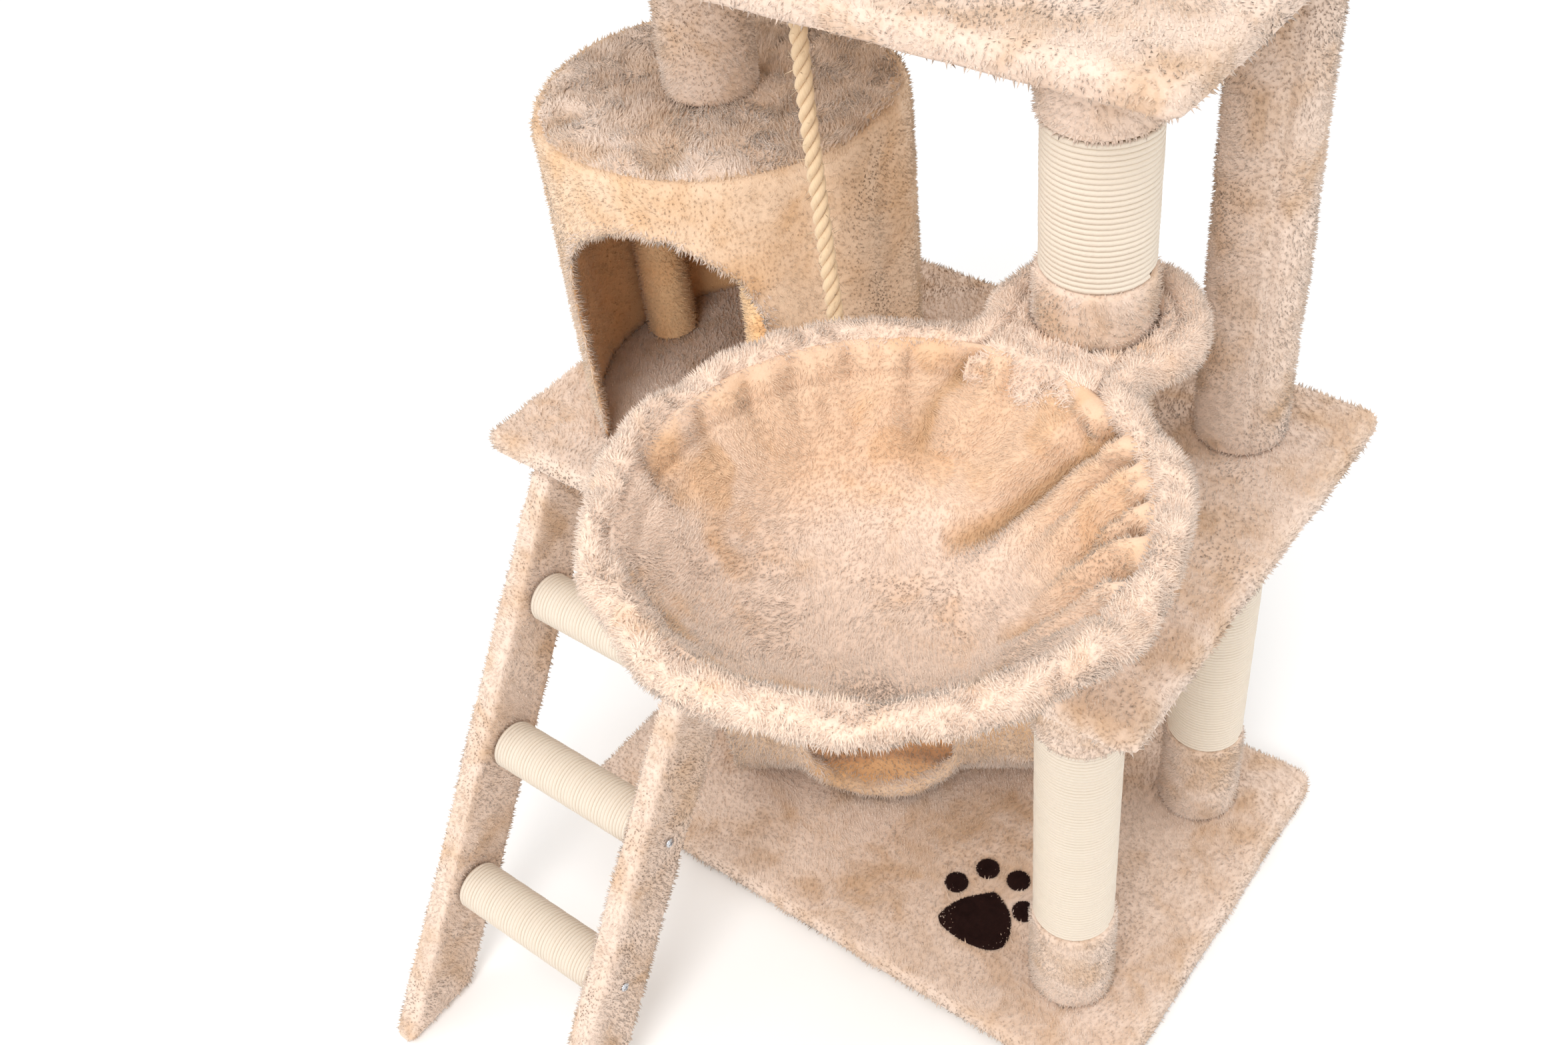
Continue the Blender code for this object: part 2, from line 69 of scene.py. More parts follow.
def newTree(name, kind, inputs, outputs):
    # an input is given by its usual value, or by its kind where it has none
    tree = bpy.data.node_groups.new(name, kind)
    kinds = {int: "Int", float: "Float", tuple: "Color"}
    for label, value in inputs.items():
        plain = isinstance(value, str)
        socketType = "NodeSocket" + (value if plain else kinds[type(value)])
        socket = tree.interface.new_socket(label, in_out="INPUT", socket_type=socketType)
        if not plain:
            socket.default_value = value
    for label, socketKind in outputs.items():
        tree.interface.new_socket(label, in_out="OUTPUT", socket_type="NodeSocket" + socketKind)
    return tree, tree.nodes.new("NodeGroupInput").outputs, tree.nodes.new("NodeGroupOutput").inputs


def calc(tree, operation, a, b=0.0):
    return addNode(tree, "ShaderNodeMath", {0: a, 1: b}, operation=operation).outputs[0]


def weighted(tree, *terms):
    # the sum of (value, weight) pairs
    total = None
    for value, weight in terms:
        term = calc(tree, "MULTIPLY", value, weight)
        total = term if total is None else calc(tree, "ADD", total, term)
    return total


def vectorCalc(tree, operation, a, b=(0.0, 0.0, 0.0)):
    return addNode(tree, "ShaderNodeVectorMath", {0: a, 1: b}, operation=operation).outputs["Vector"]


def scaled(tree, vector, factor):
    inputs = {0: vector, "Scale": factor}
    return addNode(tree, "ShaderNodeVectorMath", inputs, operation="SCALE").outputs["Vector"]


def combined(tree, x=0.0, y=0.0, z=0.0):
    return addNode(tree, "ShaderNodeCombineXYZ", {0: x, 1: y, 2: z}).outputs[0]


def separated(tree, vector):
    return addNode(tree, "ShaderNodeSeparateXYZ", {0: vector}).outputs


def mixColour(tree, share, a, b, blendType="MIX"):
    inputs = {"Factor": share, "A": a, "B": b}
    node = addNode(tree, "ShaderNodeMix", inputs, data_type="RGBA", blend_type=blendType)
    return socketOf(node.outputs, "Result")


def shaded(tree, colour, red, green, blue):
    factor = addNode(tree, "ShaderNodeCombineColor", {"Red": red, "Green": green, "Blue": blue}).outputs[0]
    return mixColour(tree, 1.0, colour, factor, "MULTIPLY")


def noise(tree, place, scale, detail, roughness=0.5, distortion=0.0, output="Fac"):
    inputs = {"Vector": place, "Scale": scale, "Detail": detail, "Roughness": roughness,
              "Distortion": distortion}
    return addNode(tree, "ShaderNodeTexNoise", inputs).outputs[output]


def named(tree, name, kind="FLOAT"):
    node = addNode(tree, "GeometryNodeInputNamedAttribute", {"Name": name}, data_type=kind)
    return socketOf(node.outputs, "Attribute")


def stored(tree, geometry, name, value, kind="FLOAT", domain="POINT"):
    inputs = {"Geometry": geometry, "Name": name, "Value": value}
    return addNode(tree, "GeometryNodeStoreNamedAttribute", inputs, data_type=kind, domain=domain).outputs[0]


def randomValue(tree, low, high, seed, kind="FLOAT"):
    node = addNode(tree, "FunctionNodeRandomValue", {"Min": low, "Max": high, "Seed": seed}, data_type=kind)
    return socketOf(node.outputs, "Value")


def finished(tree, given, made, geometry):
    node = addNode(tree, "GeometryNodeSetMaterial", {"Geometry": geometry, "Material": given["Finish"]})
    tree.links.new(node.outputs[0], made[0])
    return tree


def runTree(tree, mesh, values):
    holder = bpy.data.objects.new("holder", mesh)
    scene.collection.objects.link(holder)
    modifier = holder.modifiers.new(tree.name, "NODES")
    modifier.node_group = tree
    for item in tree.interface.items_tree:
        if item.in_out == "INPUT" and item.name in values:
            modifier[item.identifier] = values[item.name]
    holder.update_tag()
    result = plainMesh(holder)
    bpy.data.objects.remove(holder)
    return result


# Meshes
def readPoints(mesh):
    values = np.empty(len(mesh.vertices) * 3)
    mesh.vertices.foreach_get("co", values)
    return values.reshape(-1, 3)


def readNormals(mesh):
    values = np.empty(len(mesh.vertices) * 3)
    mesh.vertex_normals.foreach_get("vector", values)
    return values.reshape(-1, 3)


def writePoints(mesh, points):
    mesh.vertices.foreach_set("co", np.asarray(points).ravel())
    mesh.update()


def writeMask(mesh, name, values):
    layer = mesh.attributes.get(name) or mesh.attributes.new(name, "FLOAT", "POINT")
    layer.data.foreach_set("value", np.asarray(values, np.float32))


def meshFrom(name, points, faces, edges=()):
    mesh = bpy.data.meshes.new(name)
    mesh.from_pydata([tuple(p) for p in points], edges, [tuple(f) for f in faces])
    mesh.update()
    return mesh


def meshOf(bm, name):
    mesh = bpy.data.meshes.new(name)
    bm.to_mesh(mesh)
    bm.free()
    return mesh


def smoothShaded(mesh):
    mesh.polygons.foreach_set("use_smooth", [True] * len(mesh.polygons))
    mesh.update()
    return mesh


def facingOut(mesh):
    # a closed mesh whose volume comes out negative has its faces turned round
    bm = bmesh.new()
    bm.from_mesh(mesh)
    if bm.calc_volume(signed=True) < 0:
        bmesh.ops.reverse_faces(bm, faces=bm.faces)
        bm.to_mesh(mesh)
    bm.free()
    return mesh


def ringFaces(rings, sides, first=0, closed=False, flip=False):
    # quads between neighbouring rings of points; closed joins the last ring to the first one
    faces = []
    for i in range(rings if closed else rings - 1):
        near, far = first + i * sides, first + (i + 1) % rings * sides
        for j in range(sides):
            k = (j + 1) % sides
            face = (near + j, near + k, far + k, far + j)
            faces.append((face[0], face[3], face[2], face[1]) if flip else face)
    return faces


def closedSheet(name, top, under, faces, edge):
    # a sheet with a thickness: the same faces above and below, and a band round its edge
    half = len(top)
    lower = [tuple(half + k for k in reversed(face)) for face in faces]
    band = [(a, half + a, half + b, b) for a, b in zip(edge, edge[1:] + edge[:1])]
    return smoothShaded(meshFrom(name, np.concatenate([top, under]), faces + lower + band))


def arcPoints(centre, radius, start, end, count):
    return [(centre[0] + radius * math.cos(start + (end - start) * k / (count - 1)),
             centre[1] + radius * math.sin(start + (end - start) * k / (count - 1))) for k in range(count)]


def plainMesh(holder):
    graph = bpy.context.evaluated_depsgraph_get()
    result = bpy.data.meshes.new_from_object(holder.evaluated_get(graph))
    holder.modifiers.clear()
    return result


def evaluated(mesh, *modifiers):
    # each modifier is (type, settings); the result is a plain mesh
    holder = bpy.data.objects.new("holder", mesh)
    scene.collection.objects.link(holder)
    for kind, settings in modifiers:
        modifier = holder.modifiers.new(kind, kind)
        for name, value in settings.items():
            setattr(modifier, name, value)
    result = plainMesh(holder)
    bpy.data.objects.remove(holder)
    return result


def softNoise(points, size, seed=0):
    # smooth lumps about size metres across, from -1 to 1
    table = np.random.default_rng(seed).uniform(-1, 1, 4096)
    places = np.asarray(points) / size + 7.31 * seed
    cell = np.floor(places).astype(np.int64)
    share = places - cell
    share = share * share * (3 - 2 * share)
    total = np.zeros(len(places))
    for corner in np.ndindex(2, 2, 2):
        weight = np.prod(np.where(np.array(corner), share, 1 - share), axis=1)
        key = (cell + corner) @ np.array((73856093, 19349663, 83492791)) & 4095
        total += weight * table[key]
    return total


def lumps(points, layers):
    # each layer is (lump size, height, seed)
    return sum(height * softNoise(points, size, seed) for size, height, seed in layers)


def crumple(mesh, layers):
    points = readPoints(mesh)
    writePoints(mesh, points + readNormals(mesh) * lumps(points, layers)[:, None])
    return mesh


def hill(distance, width):
    return np.exp(-(distance / width) ** 2)


def shellOf(node, outerOnly=False):
    # a merged copy of a CAD node; outerOnly drops the hollow inside it
    bm = bmesh.new()
    bm.from_mesh(nodes[node].data)
    bmesh.ops.remove_doubles(bm, verts=bm.verts, dist=1e-5)
    if outerOnly:
        left, islands = set(bm.verts), []
        while left:
            island, front = set(), [left.pop()]
            while front:
                vertex = front.pop()
                island.add(vertex)
                for edge in vertex.link_edges:
                    other = edge.other_vert(vertex)
                    if other in left:
                        left.remove(other)
                        front.append(other)
            islands.append(island)
        outer = max(islands, key=lambda i: sum(np.ptp([v.co for v in i], axis=0)))
        bmesh.ops.delete(bm, geom=[v for v in bm.verts if v not in outer], context="VERTS")
    return meshOf(bm, node + "_copy")


def remeshed(mesh, voxel, rounds):
    remesh = {"mode": "VOXEL", "voxel_size": voxel, "use_smooth_shade": True}
    return evaluated(mesh, ("REMESH", remesh), ("SMOOTH", {"factor": 0.5, "iterations": rounds}))


def inset(mesh, depth):
    # the CAD surface is where the pile ends, so the skin lies below it
    writePoints(mesh, readPoints(mesh) - readNormals(mesh) * depth)
    return mesh


def subdivided(mesh):
    return evaluated(mesh, ("SUBSURF", {"levels": 1, "render_levels": 1}))


def swollen(mesh, voxel, fill, sewn):
    # a pad filled by a cloth simulation; sewn marks the points that its seam holds
    mesh = remeshed(mesh, voxel, 2)
    start = readPoints(mesh)
    holder = bpy.data.objects.new("pad", mesh)
    scene.collection.objects.link(holder)
    group = holder.vertex_groups.new(name="sewn")
    group.add([int(k) for k in np.flatnonzero(sewn(start))], 1.0, "REPLACE")
    cloth = holder.modifiers.new("cloth", "CLOTH")
    cloth.settings.quality = 6
    cloth.settings.use_pressure = True
    cloth.settings.uniform_pressure_force = fill["pressure"]
    cloth.settings.shrink_min = -fill["ease"]
    cloth.settings.vertex_group_mass = "sewn"
    cloth.settings.effector_weights.gravity = 0
    cloth.point_cache.frame_end = fill["frames"]
    for step in range(1, fill["frames"] + 1):
        scene.frame_set(step)
    mesh = plainMesh(holder)
    bpy.data.objects.remove(holder)
    scene.frame_set(1)
    moved = readPoints(mesh) - start
    far = np.linalg.norm(moved, axis=1)
    writePoints(mesh, start + moved * np.minimum(1, fill["cap"] / np.maximum(far, 1e-9))[:, None])
    return subdivided(mesh)


def newPiece(name, mesh, body, material, stands=()):
    mesh.name = name
    piece = bpy.data.objects.new(name, mesh)
    scene.collection.objects.link(piece)
    mesh.materials.clear()
    mesh.materials.append(material)
    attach(piece, body)
    if stands:
        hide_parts(*stands)
    return piece


# Camera, floor and light
cameraValues = {
    "place": (0.5864, -0.7963, 1.2740),
    "right": (0.7957, 0.6000, -0.0833),
    "up": (-0.3505, 0.5683, 0.7444),
    "lens": 36.5,  # millimetres
    "shift": (-0.0244, -0.0150),
}
lightValues = {
    "lamps": (  # place, target, side, watts
        ((0.9, -2.7, 2.3), (0.0, -0.1, 0.5), 1.3, 36.0),
        ((0.7, -1.7, 3.7), (0.0, -0.1, 0.5), 1.3, 34.0),
        ((-2.3, -1.3, 1.9), (0.0, 0.0, 0.5), 1.4, 13.0),
        ((1.7, 1.3, 1.6), (0.0, 0.0, 0.5), 1.4, 9.0),
    ),
    "sky": 0.95,
    "floorColour": (0.93, 0.93, 0.925, 1), "floorReach": 6, "floorHeight": -0.0005,
}
camera = bpy.data.objects.new("camera", bpy.data.cameras.new("camera"))
scene.collection.objects.link(camera)
right, up = Vector(cameraValues["right"]).normalized(), Vector(cameraValues["up"])
back = right.cross(up).normalized()
turned = Matrix((right, back.cross(right), back)).transposed().to_4x4()
camera.matrix_world = Matrix.Translation(cameraValues["place"]) @ turned
camera.data.sensor_width = 36
camera.data.lens = cameraValues["lens"]
camera.data.shift_x, camera.data.shift_y = cameraValues["shift"]
camera.data.clip_start = 0.01
scene.camera = camera

for number, (place, target, side, power) in enumerate(lightValues["lamps"]):
    lamp = bpy.data.lights.new(f"lamp_{number}", "AREA")
    lamp.size, lamp.energy = side, power
    holder = bpy.data.objects.new(lamp.name, lamp)
    holder.location = place
    holder.rotation_euler = (Vector(target) - Vector(place)).to_track_quat("-Z", "Y").to_euler()
    scene.collection.objects.link(holder)
scene.world = bpy.data.worlds.new("sky")
scene.world.use_nodes = True
background = scene.world.node_tree.nodes["Background"]
background.inputs["Color"].default_value = (1, 1, 1, 1)
background.inputs["Strength"].default_value = lightValues["sky"]
scene.view_settings.view_transform = "Standard"


def setInputs(node, **values):
    for label, value in values.items():
        node.inputs[label.replace("_", " ")].default_value = value


def newMaterial(name, roughness, specular=0.5, **settings):
    material = bpy.data.materials.new(name)
    material.use_nodes = True
    shader = material.node_tree.nodes["Principled BSDF"]
    shader.inputs["Specular IOR Level"].default_value = specular
    setInputs(shader, Roughness=roughness, **settings)
    return material, material.node_tree, shader


corners = [(x * lightValues["floorReach"], y * lightValues["floorReach"], lightValues["floorHeight"])
           for x, y in ((-1, -1), (1, -1), (1, 1), (-1, 1))]
floor = bpy.data.objects.new("floor", meshFrom("floor", corners, [(0, 1, 2, 3)]))
floor.data.materials.append(newMaterial("floor", 0.9, Base_Color=lightValues["floorColour"])[0])
scene.collection.objects.link(floor)
print("Camera, floor and light placed")


# Materials
# painted shade: rootShade darkens the pile's roots, foldShade the deep colour in the marked folds and crushed
# nap, creaseShade the marked creases
plushValues = {
    "sheenTint": (1.0, 0.93, 0.86, 1), "rootShade": 0.90, "sheen": 0.35, "foldShade": 0.93,
    "toneSpread": 0.10, "creaseShade": 0.38, "bump": (0.35, 0.0012),
}


def buildPlushPattern():
    # nap brushed different ways shows as soft patches; fine hair shows as speckle
    tree, given, made = newTree(
        "brushedNap", "ShaderNodeTree",
        {"Position": "Vector", "Light": (0.8, 0.6, 0.47, 1), "Deep": (0.7, 0.46, 0.3, 1),
         "Patches": 22.0, "Spread": 0.5},
        {"Color": "Color", "Height": "Float"},
    )
    place = given["Position"]
    patches = noise(tree, place, given["Patches"], 4.0, 0.55, 0.35)
    low = calc(tree, "SUBTRACT", 0.66, calc(tree, "MULTIPLY", given["Spread"], 0.5))
    edges = {"Value": patches, "From Min": low, "From Max": calc(tree, "ADD", low, 0.38)}
    mask = addNode(tree, "ShaderNodeMapRange", edges, interpolation_type="SMOOTHSTEP").outputs[0]
    streaks = noise(tree, vectorCalc(tree, "MULTIPLY", place, (1.0, 0.35, 0.5)), 150.0, 3.0, 0.6, 0.4)
    hair = noise(tree, place, 620.0, 2.0)
    shade = calc(tree, "ADD", 0.80, weighted(tree, (streaks, 0.22), (hair, 0.18)))
    colour = shaded(tree, mixColour(tree, mask, given["Light"], given["Deep"]),
                    shade, calc(tree, "POWER", shade, 1.15), calc(tree, "POWER", shade, 1.3))
    tree.links.new(colour, made["Color"])
    tree.links.new(weighted(tree, (hair, 1.0), (streaks, 0.8)), made["Height"])
    return tree


def buildFibrePattern():
    # fibres that run along a strand; the strand stores (turn, side, length) in strandPlace
    tree, given, made = newTree(
        "twistedFibre", "ShaderNodeTree",
        {"Place": "Vector", "Light": (0.87, 0.75, 0.6, 1), "Deep": (0.7, 0.52, 0.34, 1), "Slant": 500.0,
         "Contrast": 0.5},
        {"Color": "Color", "Height": "Float"},
    )
    x, y, z = separated(tree, given["Place"])
    turn = calc(tree, "MULTIPLY", z, given["Slant"])
    cosine, sine = calc(tree, "COSINE", turn), calc(tree, "SINE", turn)
    across = calc(tree, "SUBTRACT", calc(tree, "MULTIPLY", x, cosine), calc(tree, "MULTIPLY", y, sine))
    around = weighted(tree, (x, sine), (y, cosine))
    fibre = noise(tree, combined(tree, across, around, calc(tree, "MULTIPLY", z, 30.0)), 3.2, 4.0, 0.7)
    slow = noise(tree, combined(tree, z=z), 9.0, 4.0)
    share = calc(tree, "MULTIPLY", weighted(tree, (fibre, 0.65), (slow, 0.35)), given["Contrast"])
    tree.links.new(mixColour(tree, share, given["Light"], given["Deep"]), made["Color"])
    tree.links.new(fibre, made["Height"])
    return tree


plushPattern, fibrePattern = buildPlushPattern(), buildFibrePattern()


def attributeOf(tree, name, output="Fac"):
    return addNode(tree, "ShaderNodeAttribute", None, attribute_name=name).outputs[output]


def objectPlace(tree):
    return addNode(tree, "ShaderNodeTexCoord").outputs["Object"]


def finishShader(tree, shader, colour, height, strength, distance):
    bump = addNode(tree, "ShaderNodeBump", {"Height": height, "Strength": strength, "Distance": distance})
    tree.links.new(bump.outputs[0], shader.inputs["Normal"])
    tree.links.new(colour, shader.inputs["Base Color"])


def plushMaterial(name, light, deep, patches, spread, rootShade=plushValues["rootShade"],
                  sheen=plushValues["sheen"]):
    v = plushValues
    material, tree, shader = newMaterial(name, 0.95, 0.15, Sheen_Weight=sheen, Sheen_Roughness=0.45,
                                         Sheen_Tint=v["sheenTint"])
    pattern = addNode(tree, "ShaderNodeGroup", None, node_tree=plushPattern)
    tree.links.new(objectPlace(tree), pattern.inputs["Position"])
    setInputs(pattern, Light=(*light, 1), Deep=(*deep, 1), Patches=patches, Spread=spread)
    # painted shade: the deep colour, darkened further, is mixed in where folds, insides and pleats are
    # marked; it is also mixed in where the nap is crushed
    shadeAndCrushColour = (*[c * v["foldShade"] for c in deep], 1)
    colour = mixColour(tree, attributeOf(tree, "shadeAndCrush"), pattern.outputs["Color"], shadeAndCrushColour)
    # painted shade makes roots darker than tips and darkens the marked creases; no two tufts are quite alike
    tuft = weighted(tree, (attributeOf(tree, "tip"), 1.0 - rootShade),
                    (attributeOf(tree, "tone"), v["toneSpread"]),
                    (attributeOf(tree, "creaseShading"), -v["creaseShade"]))
    shade = calc(tree, "ADD", rootShade, tuft)
    colour = shaded(tree, colour, shade, shade, shade)
    finishShader(tree, shader, colour, pattern.outputs["Height"], *v["bump"])
    return material


def fibreMaterial(name, light, deep, slant, contrast, bump):
    material, tree, shader = newMaterial(name, 0.72, 0.3, Sheen_Weight=0.15, Sheen_Roughness=0.4)
    pattern = addNode(tree, "ShaderNodeGroup", None, node_tree=fibrePattern)
    setInputs(pattern, Light=(*light, 1), Deep=(*deep, 1), Slant=slant, Contrast=contrast)
    tree.links.new(attributeOf(tree, "strandPlace", "Vector"), pattern.inputs["Place"])
    finishShader(tree, shader, pattern.outputs["Color"], pattern.outputs["Height"], 0.5, bump)
    return material


def woodMaterial(name, light, deep, scale):
    material, tree, shader = newMaterial(name, 0.62)
    place = objectPlace(tree)
    grain = noise(tree, vectorCalc(tree, "MULTIPLY", place, (0.12, 1.0, 1.0)), scale, 6.0, 0.65, 0.8)
    flakes = addNode(tree, "ShaderNodeTexVoronoi", {"Vector": place, "Scale": scale * 4}).outputs["Distance"]
    share = weighted(tree, (grain, 0.8), (flakes, 0.25))
    finishShader(tree, shader, mixColour(tree, share, (*light, 1), (*deep, 1)), share, 0.3, 0.0004)
    return material


def paperMaterial():
    # a kraft strip wound on a slant: its edge shows as a thin dark helix
    material, tree, shader = newMaterial("kraftPaper", 0.8)
    place = objectPlace(tree)
    edge = addNode(tree, "ShaderNodeTexWave", {"Vector": place, "Scale": 5.0, "Distortion": 0.0},
                   bands_direction="DIAGONAL", wave_profile="SAW").outputs[1]
    edge = calc(tree, "GREATER_THAN", edge, 0.96)
    fleck = calc(tree, "MULTIPLY", noise(tree, place, 300.0, 4.0), 0.5)
    share = calc(tree, "MAXIMUM", fleck, calc(tree, "MULTIPLY", edge, 0.8))
    colour = mixColour(tree, share, (0.62, 0.45, 0.29, 1), (0.36, 0.24, 0.14, 1))
    finishShader(tree, shader, colour, share, 0.2, 0.0003)
    return material


def steelMaterial():
    material, tree, shader = newMaterial("zincSteel", 0.3, Metallic=1.0)
    cloud = noise(tree, objectPlace(tree), 420.0, 5.0)
    roughness = calc(tree, "ADD", 0.18, calc(tree, "MULTIPLY", cloud, 0.3))
    tree.links.new(roughness, shader.inputs["Roughness"])
    colour = mixColour(tree, cloud, (0.70, 0.71, 0.73, 1), (0.46, 0.48, 0.52, 1))
    finishShader(tree, shader, colour, cloud, 0.15, 0.0002)
    return material


# light colour, deep colour, patches to a metre and how far the deep colour spreads
beigePlush = plushMaterial("beigePlush", (0.86, 0.68, 0.56), (0.69, 0.47, 0.31), 24.0, 0.56)
# painted shade: a more orange copy of the beige plush, for the shaded, bounce-lit condo wall and tunnel
shadedWallPlush = plushMaterial("shadedWallPlush", (0.84, 0.61, 0.43), (0.73, 0.46, 0.26), 20.0, 0.58)
# painted light: a lighter copy of the beige plush for the condo's roof
litRoofPlush = plushMaterial("litRoofPlush", (0.95, 0.77, 0.65), (0.80, 0.58, 0.42), 24.0, 0.54)
# the lining's own colour, partly painted shade: a deep orange for the condo's insides and props and the
# tunnel's inside
shadedLiningPlush = plushMaterial("shadedLiningPlush", (1.0, 0.67, 0.38), (0.96, 0.55, 0.26), 26.0, 0.5)
peachPlush = plushMaterial("peachPlush", (0.92, 0.71, 0.57), (0.87, 0.55, 0.32), 26.0, 0.30)
darkFlock = plushMaterial("darkFlock", (0.030, 0.011, 0.009), (0.018, 0.006, 0.005), 60.0, 0.5, 0.8, 0.04)
# light colour, deep colour, the fibres' twist, contrast and bump
creamSisal = fibreMaterial("creamSisal", (0.77, 0.69, 0.585), (0.57, 0.45, 0.33), 900.0, 0.55, 0.0004)
strawRope = fibreMaterial("strawRope", (0.84, 0.66, 0.46), (0.52, 0.34, 0.17), 420.0, 0.9, 0.0006)
chipboard = woodMaterial("chipboard", (0.66, 0.50, 0.31), (0.38, 0.25, 0.13), 45.0)
softwood = woodMaterial("softwood", (0.78, 0.60, 0.38), (0.56, 0.37, 0.19), 60.0)
kraftPaper, zincSteel = paperMaterial(), steelMaterial()


# Pile: a tuft on each spot of a skin, leaning as the nap is brushed
usualPile = {"lean": 1.0, "patch": 20.0, "splay": 0.35}  # where a piece's own pile doesn't say
tuftValues = {"taper": 0.58, "stretch": (0.65, 1.25), "ownLight": 0.55}
pileSeeds = iter(range(1, 500))


def buildPileTree():
    tree, given, made = newTree(
        "pile", "GeometryNodeTree",
        {"Skin": "Geometry", "Density": 100000.0, "Length": 0.006, "Width": 0.0018, "Lean": 1.0,
         "Patch": 20.0, "Splay": 0.35, "Seed": 1, "Finish": "Material"},
        {"Pile": "Geometry"},
    )
    density = calc(tree, "MULTIPLY", given["Density"], named(tree, "cover"))
    spots = addNode(tree, "GeometryNodeDistributePointsOnFaces",
                    {"Mesh": given["Skin"], "Density": density, "Seed": given["Seed"]}).outputs
    place = addNode(tree, "GeometryNodeInputPosition").outputs[0]
    brushed = noise(tree, place, given["Patch"], 2.0, distortion=0.5, output="Color")
    lean = scaled(tree, vectorCalc(tree, "SUBTRACT", brushed, (0.5, 0.5, 0.5)),
                  calc(tree, "MULTIPLY", given["Lean"], 3.0))
    loose = randomValue(tree, (-1.0, -1.0, -1.0), (1.0, 1.0, 1.0), 11, "FLOAT_VECTOR")
    loose = scaled(tree, loose, given["Splay"])
    way = vectorCalc(tree, "ADD", vectorCalc(tree, "ADD", spots["Normal"], lean), loose)
    turn = addNode(tree, "FunctionNodeAlignRotationToVector", {"Vector": way}, axis="Z").outputs[0]
    cone = addNode(tree, "GeometryNodeMeshCone",
                   {"Vertices": 3, "Side Segments": 1, "Radius Top": 0.0, "Depth": given["Length"],
                    "Radius Bottom": calc(tree, "MULTIPLY", given["Width"], tuftValues["taper"])})
    height = calc(tree, "DIVIDE", separated(tree, place)["Z"], given["Length"])
    tuft = stored(tree, cone.outputs[0], "tip", height)
    upright = stored(tree, spots["Points"], "nap", spots["Normal"], "FLOAT_VECTOR")
    size = combined(tree, 1.0, 1.0, randomValue(tree, *tuftValues["stretch"], 23))
    tufts = addNode(tree, "GeometryNodeInstanceOnPoints",
                    {"Points": upright, "Instance": tuft, "Rotation": turn, "Scale": size})
    tufts = stored(tree, tufts.outputs[0], "tone", randomValue(tree, -0.5, 0.5, 37), domain="INSTANCE")
    real = addNode(tree, "GeometryNodeRealizeInstances", {"Geometry": tufts})
    smooth = addNode(tree, "GeometryNodeSetShadeSmooth", {"Geometry": real.outputs[0]})
    # the nap takes the light as the cloth under it does, so it doesn't look like straw
    own = scaled(tree, addNode(tree, "GeometryNodeInputNormal").outputs[0], tuftValues["ownLight"])
    soft = vectorCalc(tree, "NORMALIZE", vectorCalc(tree, "ADD", named(tree, "nap", "FLOAT_VECTOR"), own))
    lit = addNode(tree, "GeometryNodeSetMeshNormal", None, mode="FREE", domain="POINT")
    tree.links.new(smooth.outputs[0], lit.inputs["Mesh"])
    tree.links.new(soft, socketOf(lit.inputs, "Custom Normal"))
    return finished(tree, given, made, lit.outputs[0])


pileTree = buildPileTree()


def growPile(name, skin, body, material, pile, seed=None):
    values = {key.capitalize(): value for key, value in (usualPile | pile).items()}
    values |= {"Seed": seed or next(pileSeeds), "Finish": material}
    return newPiece(name, runTree(pileTree, skin.copy(), values), body, material)


def plushPiece(name, skin, body, material, stands, pile):
    piece = newPiece(name, skin, body, material, stands)
    growPile(name + "_pile", skin, body, material, pile)
    return piece


def addMaterials(piece, kinds, *materials):
    # kinds holds, for each point, which of the piece's materials it has
    for material in materials:
        piece.data.materials.append(material)
    faces = piece.data.polygons
    faces.foreach_set("material_index", [int(kinds[face.vertices[0]]) for face in faces])


def coverMask(mesh, under, holes=()):
    # how thick the pile stands: thin underneath, none where a post stands or at the floor
    points, normals = readPoints(mesh), readNormals(mesh)
    mask = np.where(normals[:, 2] < -0.4, under, 1.0)
    mask = np.where(points[:, 2] < 0.005, 0.0, mask)
    for x, y, radius in holes:
        hole = (np.hypot(points[:, 0] - x, points[:, 1] - y) < radius) & (normals[:, 2] > 0)
        mask = np.where(hole, 0.0, mask)
    writeMask(mesh, "cover", mask)


def centreOf(node):
    low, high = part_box(node)
    return (low + high) / 2


def sweepStrand(tree, curve, thickness, sides):
    # a round strand along a curve; strandPlace says where each point is on it
    along = stored(tree, curve, "along", addNode(tree, "GeometryNodeSplineParameter").outputs["Length"])
    half = calc(tree, "MULTIPLY", thickness, 0.5)
    ring = addNode(tree, "GeometryNodeCurvePrimitiveCircle", {"Resolution": sides, "Radius": half})
    place = addNode(tree, "GeometryNodeInputPosition").outputs[0]
    aside = scaled(tree, place, calc(tree, "DIVIDE", 1.0, half))
    ring = stored(tree, ring.outputs[0], "aside", aside, "FLOAT_VECTOR")
    swept = addNode(tree, "GeometryNodeCurveToMesh",
                    {"Curve": along, "Profile Curve": ring, "Fill Caps": True})
    x, y, _ = separated(tree, named(tree, "aside", "FLOAT_VECTOR"))
    place = combined(tree, x, y, named(tree, "along"))
    placed = stored(tree, swept.outputs[0], "strandPlace", place, "FLOAT_VECTOR")
    return addNode(tree, "GeometryNodeSetShadeSmooth", {"Geometry": placed}).outputs[0]


